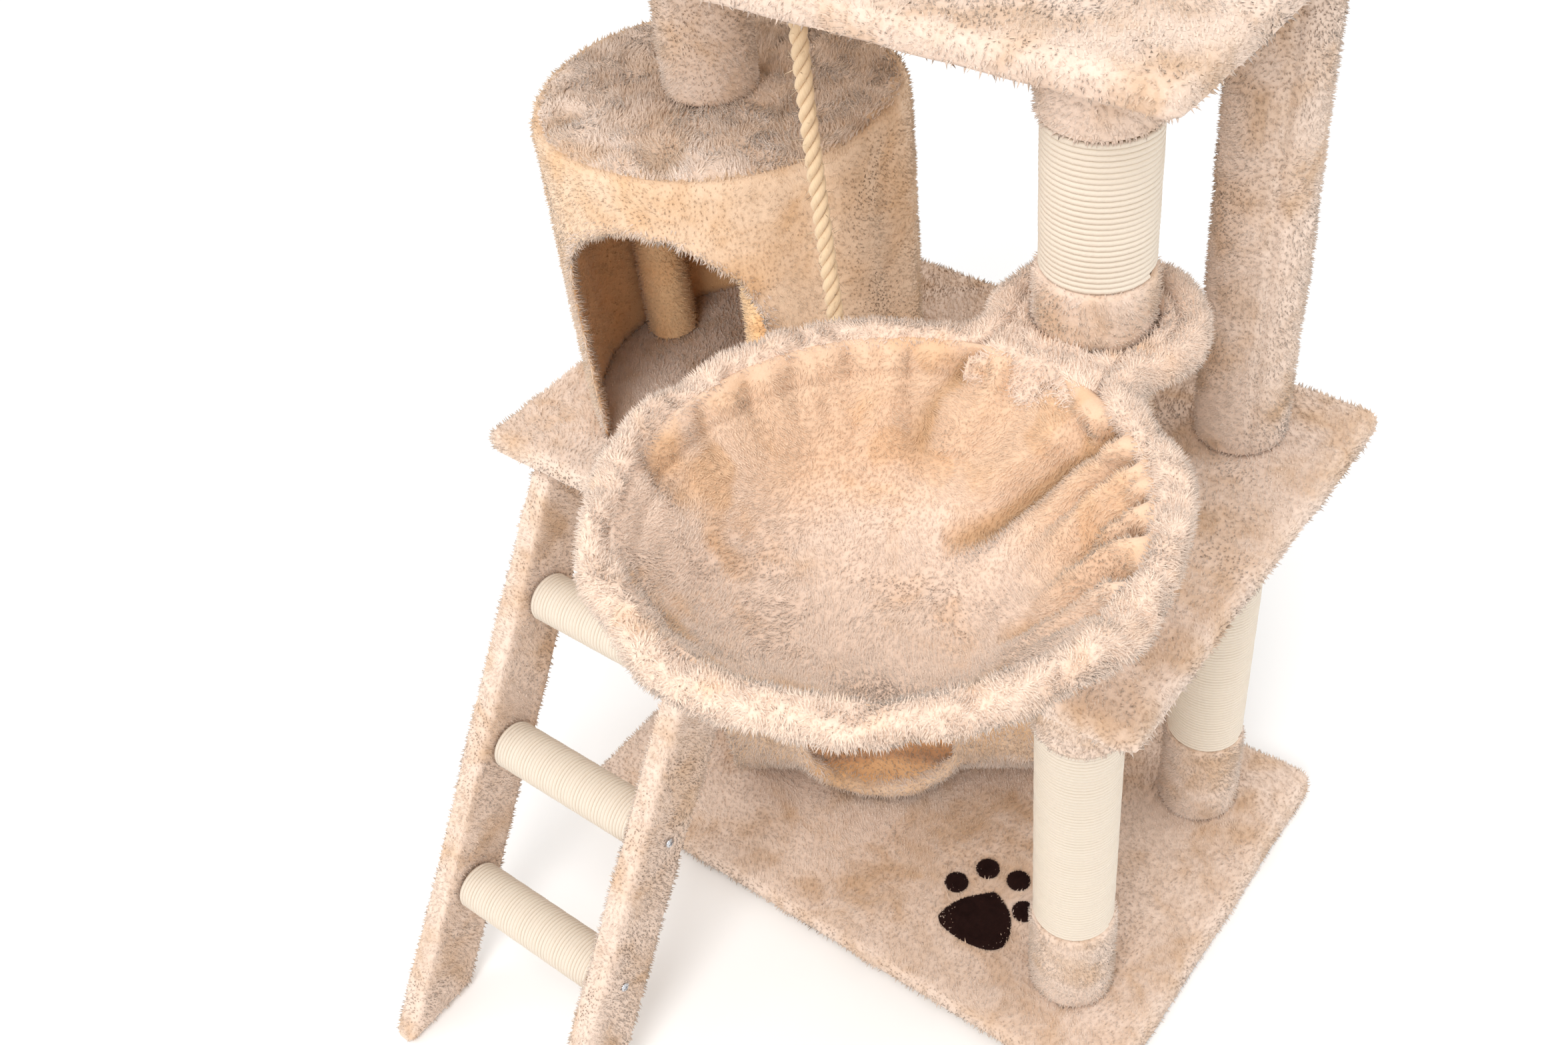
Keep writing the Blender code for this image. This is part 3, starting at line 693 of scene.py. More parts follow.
# Rope: three twisted strands that hang from the upper platform and end in a knot
ropeValues = {
    "route": ((0.0320, -0.1400, 0.8925), (0.0321, -0.1400, 0.8700), (0.0326, -0.1400, 0.8350),
              (0.0340, -0.1400, 0.7950), (0.0358, -0.1400, 0.7550), (0.0378, -0.1400, 0.7150),
              (0.0398, -0.1400, 0.6750), (0.0415, -0.1400, 0.6350), (0.0427, -0.1400, 0.5950),
              (0.0433, -0.1400, 0.5650), (0.0434, -0.1400, 0.5450)),
    "diameter": 0.0114, "lay": 0.030, "strand": 0.0056, "offset": 0.0030, "sides": 10, "steps": 260,
    "knotReach": 0.0030, "knotDepth": 0.0048, "knotDrop": 0.0105, "knotPoints": 90, "knotSteps": 240,
    "knotShare": 0.8, "knotRoom": 0.002,
    "fibres": {"density": 16000, "length": 0.0085, "width": 0.00045, "lean": 1.5, "patch": 300.0,
               "splay": 1.2},
    "fibreSeed": 77,
}


def buildRopeTree():
    tree, given, made = newTree(
        "threeStrandRope", "GeometryNodeTree",
        {"Route": "Geometry", "Points": 260, "Lay": 0.03, "Offset": 0.003, "Strand": 0.0055,
         "Finish": "Material"},
        {"Rope": "Geometry"},
    )
    line = addNode(tree, "GeometryNodeMeshToCurve", {"Mesh": given["Route"]})
    line = addNode(tree, "GeometryNodeResampleCurve", {"Curve": line.outputs[0], "Count": given["Points"]})
    normal = addNode(tree, "GeometryNodeInputNormal").outputs[0]
    beside = vectorCalc(tree, "CROSS_PRODUCT", addNode(tree, "GeometryNodeInputTangent").outputs[0], normal)
    along = addNode(tree, "GeometryNodeSplineParameter").outputs["Length"]
    turn = calc(tree, "MULTIPLY", calc(tree, "DIVIDE", along, given["Lay"]), math.tau)
    strands = addNode(tree, "GeometryNodeJoinGeometry")
    for number in range(3):
        phase = calc(tree, "ADD", turn, math.tau * number / 3)
        out = vectorCalc(tree, "ADD", scaled(tree, normal, calc(tree, "COSINE", phase)),
                         scaled(tree, beside, calc(tree, "SINE", phase)))
        moved = addNode(tree, "GeometryNodeSetPosition",
                        {"Geometry": line.outputs[0], "Offset": scaled(tree, out, given["Offset"])})
        swept = sweepStrand(tree, moved.outputs[0], given["Strand"], ropeValues["sides"])
        tree.links.new(swept, strands.inputs[0])
    return finished(tree, given, made, strands.outputs[0])


def smoothRoute(points, steps=8, closed=False):
    # points on a smooth curve through the route's own points
    knots = [Vector(p) for p in points]
    if closed:
        knots = [knots[-1]] + knots + knots[:2]
    else:
        knots = [2 * knots[0] - knots[1]] + knots + [2 * knots[-1] - knots[-2]]
    fine = []
    for a, b, c, d in zip(knots, knots[1:], knots[2:], knots[3:]):
        for k in range(steps):
            t = k / steps
            fine.append(0.5 * (2 * b + (c - a) * t + (2 * a - 5 * b + 4 * c - d) * t ** 2
                               + (3 * b - a - 3 * c + d) * t ** 3))
    return fine if closed else fine + [knots[-2]]


def lineMesh(name, points):
    return meshFrom(name, points, [], [(k, k + 1) for k in range(len(points) - 1)])


def makeRope():
    v = ropeValues
    tree = buildRopeTree()
    route = smoothRoute(v["route"])
    sizes = {"Lay": v["lay"], "Offset": v["offset"], "Strand": v["strand"], "Finish": strawRope}
    mesh = runTree(tree, lineMesh("route", route), {"Points": v["steps"], **sizes})
    rope = newPiece("hanging_rope", mesh, "rope", strawRope, ["rope"])
    # a trefoil drawn tight under the rope's end
    end, reach = Vector(v["route"][-1]), v["knotReach"]
    loop = []
    for k in range(v["knotPoints"]):
        t = math.tau * k / v["knotPoints"]
        loop.append(end + Vector((reach * (math.sin(t) + 2 * math.sin(2 * t)),
                                  -v["knotDepth"] * math.sin(3 * t),
                                  reach * 1.15 * (math.cos(t) - 2 * math.cos(2 * t)) - v["knotDrop"])))
    loop.append(loop[0])
    sizes |= {"Offset": v["offset"] * v["knotShare"], "Strand": v["strand"] * v["knotShare"]}
    mesh = runTree(tree, lineMesh("knot", loop), {"Points": v["knotSteps"], **sizes})
    low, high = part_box("rope_knot")
    low, high = np.array(low) - v["knotRoom"], np.array(high) + v["knotRoom"]
    writePoints(mesh, np.clip(readPoints(mesh), low, high))
    knot = newPiece("rope_end_knot", mesh, "rope", strawRope, ["rope_knot"])
    bare = rope.data.copy()
    writeMask(bare, "cover", np.ones(len(bare.vertices)))
    growPile("rope_fibres", bare, "rope", strawRope, v["fibres"], v["fibreSeed"])


makeRope()
print("Rope hung")


# Covered boards, and the places on the base that its paw print takes
pawValues = {
    "pad": ((0.0903, -0.1357), (0.0947, -0.1106), (0.1137, -0.0884), (0.1220, -0.0855), (0.1411, -0.0966),
            (0.1518, -0.1137), (0.1536, -0.1289), (0.1419, -0.1392), (0.1159, -0.1428)),
    "toes": ((0.0826, -0.0944), (0.0987, -0.0660), (0.1292, -0.0615), (0.1506, -0.0869)),
    "toeRadius": 0.0105, "toeSides": 32, "padBare": (0.1225, -0.1170, 0.0285),
    "top": 0.0008, "bottom": -0.0016, "round": 0.0009, "rings": (0.0, 0.35, 0.65, 0.85, 0.95, 1.0),
    "pile": {"density": 1300000, "length": 0.0014, "width": 0.0007, "lean": 0.5, "patch": 80.0},
}
boardValues = {
    "voxel": 0.0060, "inset": 0.0018, "lumps": ((0.055, 0.0010, 3), (0.017, 0.0007, 5)), "low": 0.0005,
    "under": 0.12, "postRoom": 0.004, "pile": {"length": 0.0041, "width": 0.0015},
    "density": {"base_cover": 108000, "lower_platform_cover": 112000, "upper_platform_cover": 118000,
                "perch_cover": 90000},
}


def postSpots(bottom):
    # the posts that stand on a board whose top is at this height
    spots = []
    for node in nodes:
        low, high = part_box(node)
        if node.endswith(("_collar_bottom", "_sleeve")) and abs(low.z - bottom) < 0.004:
            centre = centreOf(node)
            spots.append((centre.x, centre.y, (high.x - low.x) / 2 - boardValues["postRoom"]))
    return spots


def coverBoard(node, density):
    v = boardValues
    skin = inset(remeshed(shellOf(node, outerOnly=True), v["voxel"], 3), v["inset"])
    crumple(skin, v["lumps"])
    points = readPoints(skin)
    points[:, 2] = np.maximum(points[:, 2], v["low"])
    writePoints(skin, points)
    bare = postSpots(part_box(node)[1].z)
    if node == "base_cover":
        bare += [pawValues["padBare"]] + [(*toe, pawValues["toeRadius"]) for toe in pawValues["toes"]]
    coverMask(skin, v["under"], bare)
    plushPiece(node.replace("_cover", "_plush"), smoothShaded(skin), "stand", beigePlush, [node],
               v["pile"] | {"density": density})


for boardNode, boardDensity in boardValues["density"].items():
    coverBoard(boardNode, boardDensity)
print("Boards covered")


# Posts: wound sisal between plush collars, or a plush sleeve
postValues = {
    "bore": 0.0311, "cloth": 0.004, "inset": 0.0017, "press": 0.0014, "edge": 0.0032, "sides": 64,
    "step": 0.006,
    "lumps": ((0.045, 0.0009, 7), (0.016, 0.0006, 9)),
    "seamAngle": math.radians(-52), "seamDepth": 0.0016, "seamWidth": 0.0022,
    "pile": {"density": 155000, "length": 0.0035, "width": 0.0014, "lean": 0.8, "patch": 24.0},
    "pitch": 0.00345, "strand": 0.0039, "strandSides": 6, "turnSteps": 30,
}


def lathe(name, profile, centre, sides):
    # turns a closed profile of (radius, height) about the vertical through centre
    profile = np.array(profile)
    angles = np.arange(sides) * math.tau / sides
    ring = np.stack([np.cos(angles), np.sin(angles)], axis=1)
    flat = profile[:, None, :1] * ring[None] + np.array(centre)
    height = np.broadcast_to(profile[:, 1, None, None], (*flat.shape[:2], 1))
    points = np.concatenate([flat, height], axis=2).reshape(-1, 3)
    return smoothShaded(meshFrom(name, points, ringFaces(len(profile), sides, closed=True)))


def tubeProfile(inner, outer, low, high, edge):
    # bottom inner edge, out and up the side, and back to the top inner edge
    turn = [math.pi / 2 * k / 4 for k in range(5)]
    profile = [(inner, low)]
    profile += [(outer - edge + edge * math.sin(a), low + edge - edge * math.cos(a)) for a in turn]
    straight = high - low - 2 * edge
    count = max(2, int(straight / postValues["step"]))
    profile += [(outer, low + edge + straight * k / count) for k in range(1, count)]
    profile += [(outer - edge + edge * math.cos(a), high - edge + edge * math.sin(a)) for a in turn]
    return profile + [(inner, high)]


def pressSeam(skin, centre, outer):
    # a groove down the sleeve, with the cloth standing up along one side of it
    v = postValues
    points = readPoints(skin)
    away = points[:, :2] - centre
    angle = np.arctan2(away[:, 1], away[:, 0]) - v["seamAngle"]
    side = np.abs((angle + math.pi) % math.tau - math.pi) * outer
    width = v["seamWidth"]
    rise = v["seamDepth"] * (0.6 * hill(side - 2.4 * width, width) - hill(side, width))
    points[:, :2] += away / np.hypot(*away.T)[:, None] * rise[:, None]
    writePoints(skin, points)


def coverTube(node, name, material=beigePlush, hollow=True, seam=False):
    v = postValues
    low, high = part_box(node)
    centre = ((low.x + high.x) / 2, (low.y + high.y) / 2)
    outer = (high.x - low.x) / 2 - v["inset"]
    inner = v["bore"] if hollow else outer - v["cloth"]
    # the bottom end presses into the plush it stands on
    skin = lathe(name, tubeProfile(inner, outer, low.z - v["press"], high.z, v["edge"]), centre, v["sides"])
    crumple(skin, v["lumps"])
    if seam:
        pressSeam(skin, centre, outer)
    away = readPoints(skin)[:, :2] - centre
    outward = (readNormals(skin)[:, :2] * away).sum(1) > 0
    writeMask(skin, "cover", outward & (np.hypot(*away.T) > outer - 0.003))
    plushPiece(name, skin, "stand", material, [node], v["pile"])


def buildWindingTree():
    tree, given, made = newTree(
        "winding", "GeometryNodeTree",
        {"Radius": 0.03, "Length": 0.2, "Pitch": 0.0035, "Strand": 0.004, "Finish": "Material"},
        {"Winding": "Geometry"},
    )
    turns = calc(tree, "DIVIDE", given["Length"], given["Pitch"])
    spiral = addNode(tree, "GeometryNodeCurveSpiral",
                     {"Resolution": postValues["turnSteps"], "Rotations": turns, "Height": given["Length"],
                      "Start Radius": given["Radius"], "End Radius": given["Radius"]})
    swept = sweepStrand(tree, spiral.outputs[0], given["Strand"], postValues["strandSides"])
    return finished(tree, given, made, swept)


windingTree = buildWindingTree()


def windSisal(node, name, axis="Z"):
    # the strand lies half inside the CAD winding's outer surface
    low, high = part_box(node)
    strand = postValues["strand"]
    k = "XYZ".index(axis)
    across = 0 if axis == "Z" else 2
    mesh = runTree(windingTree, bpy.data.meshes.new("winding"), {
        "Radius": (high[across] - low[across] - strand) / 2, "Length": high[k] - low[k] - strand,
        "Pitch": postValues["pitch"], "Strand": strand, "Finish": creamSisal})
    start = centreOf(node)
    start[k] = low[k] + strand / 2
    turn = Matrix.Rotation(math.pi / 2, 4, "Y") if axis == "X" else Matrix.Identity(4)
    mesh.transform(Matrix.Translation(start) @ turn)
    newPiece(name, mesh, "stand", creamSisal, [node])


for postNode in sorted(nodes):
    if "_collar_" in postNode or postNode.endswith("_sleeve"):
        coverTube(postNode, postNode + "_plush", seam=postNode == "back_right_tall_sleeve")
    elif postNode.endswith("_sisal"):
        windSisal(postNode, postNode + "_winding")
print("Posts covered and wound")


# Ladder: plush stringers and wound rungs
ladderValues = {
    "voxel": 0.0045, "inset": 0.0018, "lumps": ((0.05, 0.0011, 13), (0.017, 0.0007, 15)), "under": 0.5,
    "pile": {"density": 122000, "length": 0.0036, "width": 0.0014},
}
for side in ("left", "right"):
    node = f"ladder_stringer_{side}"
    skin = inset(remeshed(shellOf(node), ladderValues["voxel"], 3), ladderValues["inset"])
    crumple(skin, ladderValues["lumps"])
    coverMask(skin, ladderValues["under"])
    plushPiece(f"ladder_side_{side}", smoothShaded(skin), "stand", beigePlush, [node],
               ladderValues["pile"])
for number in (1, 2, 3):
    windSisal(f"ladder_rung_sisal_{number}", f"ladder_rung_winding_{number}", "X")
print("Ladder covered and wound")


# Condo: a soft wall with an arched doorway, a roof cover with an edge seam, and props
condoValues = {
    "voxel": 0.0048, "inset": 0.0018, "radius": 0.140, "centre": (-0.150, -0.020), "wall": 0.0045,
    "doorAngle": math.radians(283), "doorWidth": 0.152, "doorHeight": 0.215,
    "doorRoll": (0.0030, 0.004, 0.007),  # rise, place and width
    "folds": ((-14, 10, 0.0050), (-27, 8, -0.0035), (4, 7, -0.0040), (20, 8, 0.0035), (-84, 7, -0.0025),
              (-150, 12, -0.004), (60, 14, -0.004), (110, 12, 0.003)),  # angle and width in degrees, rise
    "flare": (0.0050, 5, 25, 0.22),  # rise, angle and width in degrees, share of the height
    "tallLumps": ((0.045, 0.0016, 17),), "lumps": ((0.014, 0.0006, 19),), "press": 0.0016,
    "roofSeam": 0.011, "seamDepth": 0.0026, "seamWidth": 0.0022, "postRoom": 0.031,
    "crush": 0.0028, "crushLumps": ((0.034, 1.0, 21), (0.013, 0.6, 23)),
    "pile": {"density": 98000, "length": 0.0034, "width": 0.0012, "lean": 1.3, "patch": 16.0},
    "liningDensity": 52000,
    "roofPile": {"density": 240000, "length": 0.0054, "width": 0.0014, "lean": 1.8, "patch": 38.0,
                 "splay": 0.4},
    "fringe": {"density": 700000, "length": 0.0050, "width": 0.0012, "lean": 0.7, "patch": 60.0,
               "splay": 0.4},
}
floorZ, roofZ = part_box("lower_platform_cover")[1].z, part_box("condo_roof_cover")[1].z


def doorDistance(points):
    # how far each point is from the doorway's outline, measured round the wall
    v = condoValues
    away = points[:, :2] - v["centre"]
    angle = np.arctan2(away[:, 1], away[:, 0]) - v["doorAngle"]
    across = np.where(np.cos(angle) > 0, np.abs(np.sin(angle)) * v["radius"], 1.0)
    half = v["doorWidth"] / 2
    spring = floorZ + v["doorHeight"] - half
    over = np.hypot(across, points[:, 2] - spring) - half
    return np.where(points[:, 2] > spring, over, across - half)


def wallRise(points, angles, heightShare):
    # how far the wall's cloth stands out: its folds, the flare at its foot, and its lumps
    v = condoValues
    rise = sum(height * hill((angles - angle + 180) % 360 - 180, width)
               for angle, width, height in v["folds"])
    rise *= np.sin(math.pi * np.clip(heightShare * 0.9 + 0.08, 0, 1)) ** 0.6
    height, angle, width, tall = v["flare"]
    rise += height * hill(angles - angle, width) * hill(heightShare, tall)
    rise += lumps(points * (1, 1, 0.5), v["tallLumps"]) + lumps(points, v["lumps"])
    height, place, width = v["doorRoll"]
    return rise + height * hill(doorDistance(points) - place, width)


def makeCondo():
    # the wall's cloth turns over the roof's edge and is sewn to a crushed panel inside it
    v = condoValues
    solid = bmesh.new()
    for node in ("condo_wall", "condo_roof_cover"):
        solid.from_mesh(shellOf(node))
    skin = inset(remeshed(meshOf(solid, "condo"), v["voxel"], 5), v["inset"])
    points, normals = readPoints(skin), readNormals(skin)
    away = points[:, :2] - v["centre"]
    reach = np.hypot(*away.T)
    seamReach = v["radius"] - v["roofSeam"]
    upper = (normals[:, 2] > 0.3) & (points[:, 2] > roofZ - 0.01)
    panel = upper & (reach < seamReach)
    inside = ((reach < v["radius"] - v["wall"]) & ~panel & (points[:, 2] < roofZ - 0.012)
              & ((normals[:, :2] * away).sum(1) < 0))
    heightShare = np.clip((points[:, 2] - floorZ) / (roofZ - floorZ), 0, 1)
    rise = wallRise(points, np.degrees(np.arctan2(away[:, 1], away[:, 0])), heightShare)
    rise *= reach > v["radius"] - 0.012
    points[:, 2] = np.where(points[:, 2] < floorZ + 0.006, floorZ - v["press"], points[:, 2])
    points[:, :2] += away / np.maximum(reach, 1e-6)[:, None] * rise[:, None]
    points[:, 2] -= v["seamDepth"] * upper * hill(reach - seamReach, v["seamWidth"])
    crush = v["crush"] * lumps(points * (1, 1, 0), v["crushLumps"])
    points[:, 2] += panel * crush
    writePoints(skin, points)
    # painted shade: the colour deepens inside the condo and in the dips of the crushed roof panel
    writeMask(skin, "shadeAndCrush", np.maximum(0.6 * inside, panel * np.clip(-crush / v["crush"], 0, 1)))
    skirt = ~panel & ~inside & (points[:, 2] > floorZ + 0.003) & (reach > seamReach - 0.002)
    clear = np.hypot(*(points[:, :2] - centreOf("condo_post_sleeve").xy).T) > v["postRoom"]
    doorway = hill(doorDistance(points), 0.006) * (points[:, 2] > floorZ + 0.004)

    def masked(cover):
        copy = skin.copy()
        writeMask(copy, "cover", cover)
        return copy

    wall = plushPiece("condo_plush", smoothShaded(masked(skirt)), "stand", shadedWallPlush,
                      ["condo_wall", "condo_roof_cover"], v["pile"])
    # the roof panel takes the lighter roof plush, painted light, and the inside takes the deep orange lining
    # plush, partly painted shade
    addMaterials(wall, panel * 1 + inside * 2, litRoofPlush, shadedLiningPlush)
    for name, cover, material, pile in (
            ("condo_roof_pile", panel & clear, litRoofPlush, v["roofPile"]),
            ("condo_lining_pile", inside, shadedLiningPlush, v["pile"] | {"density": v["liningDensity"]}),
            ("doorway_fringe", doorway, beigePlush, v["fringe"])):
        growPile(name, masked(cover), "stand", material, pile)


makeCondo()
for number in (1, 2, 3):
    coverTube(f"condo_prop_{number}", f"condo_prop_plush_{number}", shadedLiningPlush, hollow=False)
print("Condo built")


# Tunnel: a soft wrinkled tube with a fluffy rolled mouth
tunnelValues = {
    "voxel": 0.0058, "inset": 0.0016, "lumps": ((0.040, 0.0022, 27), (0.015, 0.0013, 29)),
    "angle": math.radians(33), "mouth": (-0.030, -0.052), "mouthReach": 0.078, "roll": (0.012, 0.008),
    "lowZ": 0.030, "lowCover": 0.2,
    "pile": {"density": 58000, "length": 0.0036, "width": 0.0016},
    "mouthPile": {"density": 190000, "length": 0.0048, "width": 0.0012, "lean": 0.8, "patch": 60.0,
                  "splay": 0.4},
}


def makeTunnel():
    v = tunnelValues
    skin = inset(remeshed(shellOf("tunnel_shell"), v["voxel"], 4), v["inset"])
    crumple(skin, v["lumps"])
    points, normals = readPoints(skin), readNormals(skin)
    points[:, 2] = np.maximum(points[:, 2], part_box("tunnel_shell")[0].z)
    writePoints(skin, points)
    outward = np.array((math.sin(v["angle"]), -math.cos(v["angle"])))
    ahead = (points[:, :2] - v["mouth"]) @ outward
    roll = np.clip((ahead + v["roll"][0]) / v["roll"][1], 0, 1)
    # the inside faces the tube's own axis
    axis = np.array((math.cos(v["angle"]), math.sin(v["angle"]), 0.0))
    across = points - (*v["mouth"], centreOf("tunnel_shell").z)
    across[:, :2] += v["mouthReach"] * outward
    across -= (across @ axis)[:, None] * axis
    within = ((across * normals).sum(1) < 0) & (ahead < -0.004)
    # painted shade: the inside of the tube deepens in colour and takes the deep orange lining plush
    writeMask(skin, "shadeAndCrush", 0.5 * within)
    mouthSkin = skin.copy()
    writeMask(skin, "cover", np.where(points[:, 2] < v["lowZ"], v["lowCover"], 1.0) * (1 - roll))
    writeMask(mouthSkin, "cover", roll)
    tunnel = plushPiece("tunnel_plush", smoothShaded(skin), "stand", shadedWallPlush,
                        ["tunnel_shell"], v["pile"])
    addMaterials(tunnel, within, shadedLiningPlush)
    growPile("tunnel_mouth_pile", mouthSkin, "stand", beigePlush, v["mouthPile"])


makeTunnel()
print("Tunnel built")


# Hammock: a plush sleeve over the wire, a gathered bowl, and the web about the post
rimValues = {
    "ring": 0.149, "neckRing": 0.0535, "fillet": 0.030, "reach": 0.1963, "angle": math.radians(265.7),
    "sleeve": 0.0135, "inset": 0.0032, "points": 300, "sides": 16, "voxel": 0.0045, "underCover": 0.5,
    "fill": {"pressure": 4.0, "ease": 0.10, "cap": 0.0030, "frames": 20},
    "lumps": ((0.011, 0.0011, 31), (0.030, 0.0014, 33), (0.0065, 0.0005, 34)),
    "pile": {"density": 400000, "length": 0.0043, "width": 0.0011, "lean": 0.9, "patch": 40.0,
             "splay": 0.38},
}
bowlValues = {
    "cut": 0.360, "depth": 0.086, "curve": 2.8, "edge": 0.1400, "edgeLift": 0.0055, "rings": 66, "sides": 360,
    "cloth": 0.0036, "rimFade": 0.010, "seam": (0.0105, 0.0018, 0.0016), "underCover": 0.14,
    "pleats": (  # depth, width, then (angle in degrees, distance from the middle) from the rim inwards
        (0.0202, 0.0055, ((56.0, 0.1390), (58.0, 0.1330), (62.7, 0.1235), (72.1, 0.0936), (80.7, 0.0746),
                          (95.4, 0.0596))),
        (0.0161, 0.0044, ((46.5, 0.1390), (49.0, 0.1320), (51.5, 0.1208), (55.3, 0.0966), (54.8, 0.0727))),
        (0.0172, 0.0044, ((33.0, 0.1390), (35.0, 0.1290), (37.4, 0.1135), (40.3, 0.0764))),
        (0.0150, 0.0040, ((22.5, 0.1390), (25.5, 0.1290), (30.8, 0.1044), (26.9, 0.0757))),
        (0.0130, 0.0046, ((9.0, 0.1390), (12.0, 0.1290), (15.4, 0.0957), (11.7, 0.0624))),
        (0.0090, 0.0040, ((40.5, 0.1390), (43.0, 0.1230))),
        (0.0080, 0.0040, ((28.0, 0.1390), (31.0, 0.1250))),
        (0.0072, 0.0045, ((-3.0, 0.1390), (1.0, 0.1220), (3.0, 0.1000))),
        (0.0105, 0.0065, ((101.0, 0.1390), (109.8, 0.1234), (114.2, 0.1058), (113.9, 0.0869))),
        (0.0080, 0.0060, ((118.0, 0.1375), (118.1, 0.1000))),
        (0.0060, 0.0050, ((126.0, 0.1375), (126.5, 0.1050))),
        (0.0080, 0.0060, ((133.6, 0.1375), (135.1, 0.0980))),
        (0.0060, 0.0050, ((141.0, 0.1375), (142.5, 0.1080))),
        (0.0070, 0.0060, ((147.3, 0.1375), (149.3, 0.1289), (152.9, 0.1020))),
        (0.0050, 0.0060, ((160.0, 0.1375), (164.0, 0.1120))),
        (0.0050, 0.0080, ((175.0, 0.1375), (178.0, 0.1150))),
        (0.0040, 0.0080, ((196.0, 0.1375), (192.0, 0.1150))),
        (0.0040, 0.0080, ((-22.0, 0.1375), (-18.0, 0.1150))),
        (0.0075, 0.0050, ((90.0, 0.1390), (88.0, 0.1300), (84.0, 0.1180))),
        (0.0070, 0.0034, ((66.0, 0.1300), (78.0, 0.1370), (90.0, 0.1370), (101.0, 0.1300))),
    ),
    "pleatSpread": 1.1, "crest": 0.55, "fullDepth": 0.006, "creaseDepth": 0.011,
    "bulge": (0.0040, 0.108, 0.022), "bulgeAngle": math.radians(45),  # rise, distance from the middle, width
    "slump": (0.0035, 0.095, 0.020), "slumpLumps": (0.08, 39),
    "lumps": ((0.050, 0.0018, 35), (0.018, 0.0007, 37)), "crushed": ((0.030, 1.0, 45), (0.014, 0.6, 47)),
    "pile": {"density": 320000, "length": 0.0034, "width": 0.0011, "lean": 1.1, "patch": 22.0},
}
neckValues = {
    "along": (0.0345, 0.0700, 44), "across": (-0.044, 0.044, 84), "cloth": 0.0035,
    "lumps": ((0.014, 0.0022, 41), (0.007, 0.0014, 43)),
    "tilt": (0.0020, 0.0660, 0.006), "seam": (0.0035, 0.0605, 0.0022), "endDrop": (0.0080, 0.030, 0.012),
    "web": ((0.0374, -0.0030), (0.0500, -0.0030), (0.0500, 0.0035), (0.0470, 0.0062), (0.0430, 0.0072),
            (0.0400, 0.0066), (0.0374, 0.0045)),  # radius, height over the rim's middle
    "webSides": 120, "webLumps": ((0.016, 0.0022, 44), (0.008, 0.0014, 46)),
    "pile": {"density": 320000, "length": 0.0045, "width": 0.0013, "patch": 40.0},
    "discBore": 0.0048, "discEdge": 0.0025, "discSides": 72, "discInset": 0.001,
    "discPile": {"density": 260000, "length": 0.0045, "width": 0.0013},
}
post = centreOf("front_right_mid_tube")
rimZ = centreOf("hammock_frame").z
toRow = Matrix.Translation((post.x, post.y, rimZ)) @ Matrix.Rotation(rimValues["angle"], 4, "Z")
bowlMiddle = np.array((toRow @ Vector((rimValues["reach"], 0, 0))).xy)


def keyhole():
    # the wire's outline about the post, with the bowl's ring along +X
    v = rimValues
    far, near = v["ring"] + v["fillet"], v["neckRing"] + v["fillet"]
    atPost = math.acos((near ** 2 + v["reach"] ** 2 - far ** 2) / (2 * near * v["reach"]))
    fillet = Vector((near * math.cos(atPost), near * math.sin(atPost)))
    toBowl = math.atan2(-fillet.y, v["reach"] - fillet.x)
    bowlStart = math.atan2(fillet.y, fillet.x - v["reach"])
    outline = arcPoints((0, 0), v["neckRing"], -atPost, atPost - math.tau, 40)
    outline += arcPoints(fillet, v["fillet"], atPost - math.pi, toBowl, 12)[1:]
    outline += arcPoints((v["reach"], 0), v["ring"], bowlStart, -bowlStart, 120)[1:]
    outline += arcPoints((fillet.x, -fillet.y), v["fillet"], -toBowl, math.pi - atPost, 12)[1:-1]
    return np.array(outline)


def evenly(points, count):
    # the same closed line with evenly spaced points
    closed = np.concatenate([points, points[:1]])
    lengths = np.concatenate([[0], np.cumsum(np.hypot(*np.diff(closed, axis=0).T))])
    wanted = np.arange(count) * lengths[-1] / count
    return np.stack([np.interp(wanted, lengths, closed[:, k]) for k in (0, 1)], axis=1)


def makeRim():
    v = rimValues
    line = evenly(keyhole(), v["points"])
    ahead = np.roll(line, -1, axis=0) - np.roll(line, 1, axis=0)
    ahead /= np.hypot(*ahead.T)[:, None]
    out = np.stack([ahead[:, 1], -ahead[:, 0]], axis=1)
    turn = np.arange(v["sides"]) * math.tau / v["sides"]
    radius = v["sleeve"] - v["inset"]
    flat = line[:, None] + out[:, None] * (radius * np.cos(turn))[None, :, None]
    height = np.broadcast_to(radius * np.sin(turn), flat.shape[:2])
    points = np.concatenate([flat, height[..., None]], axis=2).reshape(-1, 3)
    mesh = facingOut(meshFrom("rim", points, ringFaces(v["points"], v["sides"], closed=True)))
    sewnReach = v["ring"] - radius * 0.7
    mesh = swollen(mesh, v["voxel"], v["fill"],
                   lambda p: (np.hypot(p[:, 0] - v["reach"], p[:, 1]) < sewnReach) & (p[:, 2] < 0.004))
    crumple(mesh, v["lumps"])
    mesh.transform(toRow)
    smoothShaded(mesh)
    writeMask(mesh, "cover", np.where(readNormals(mesh)[:, 2] < -0.6, v["underCover"], 1.0))
    return mesh


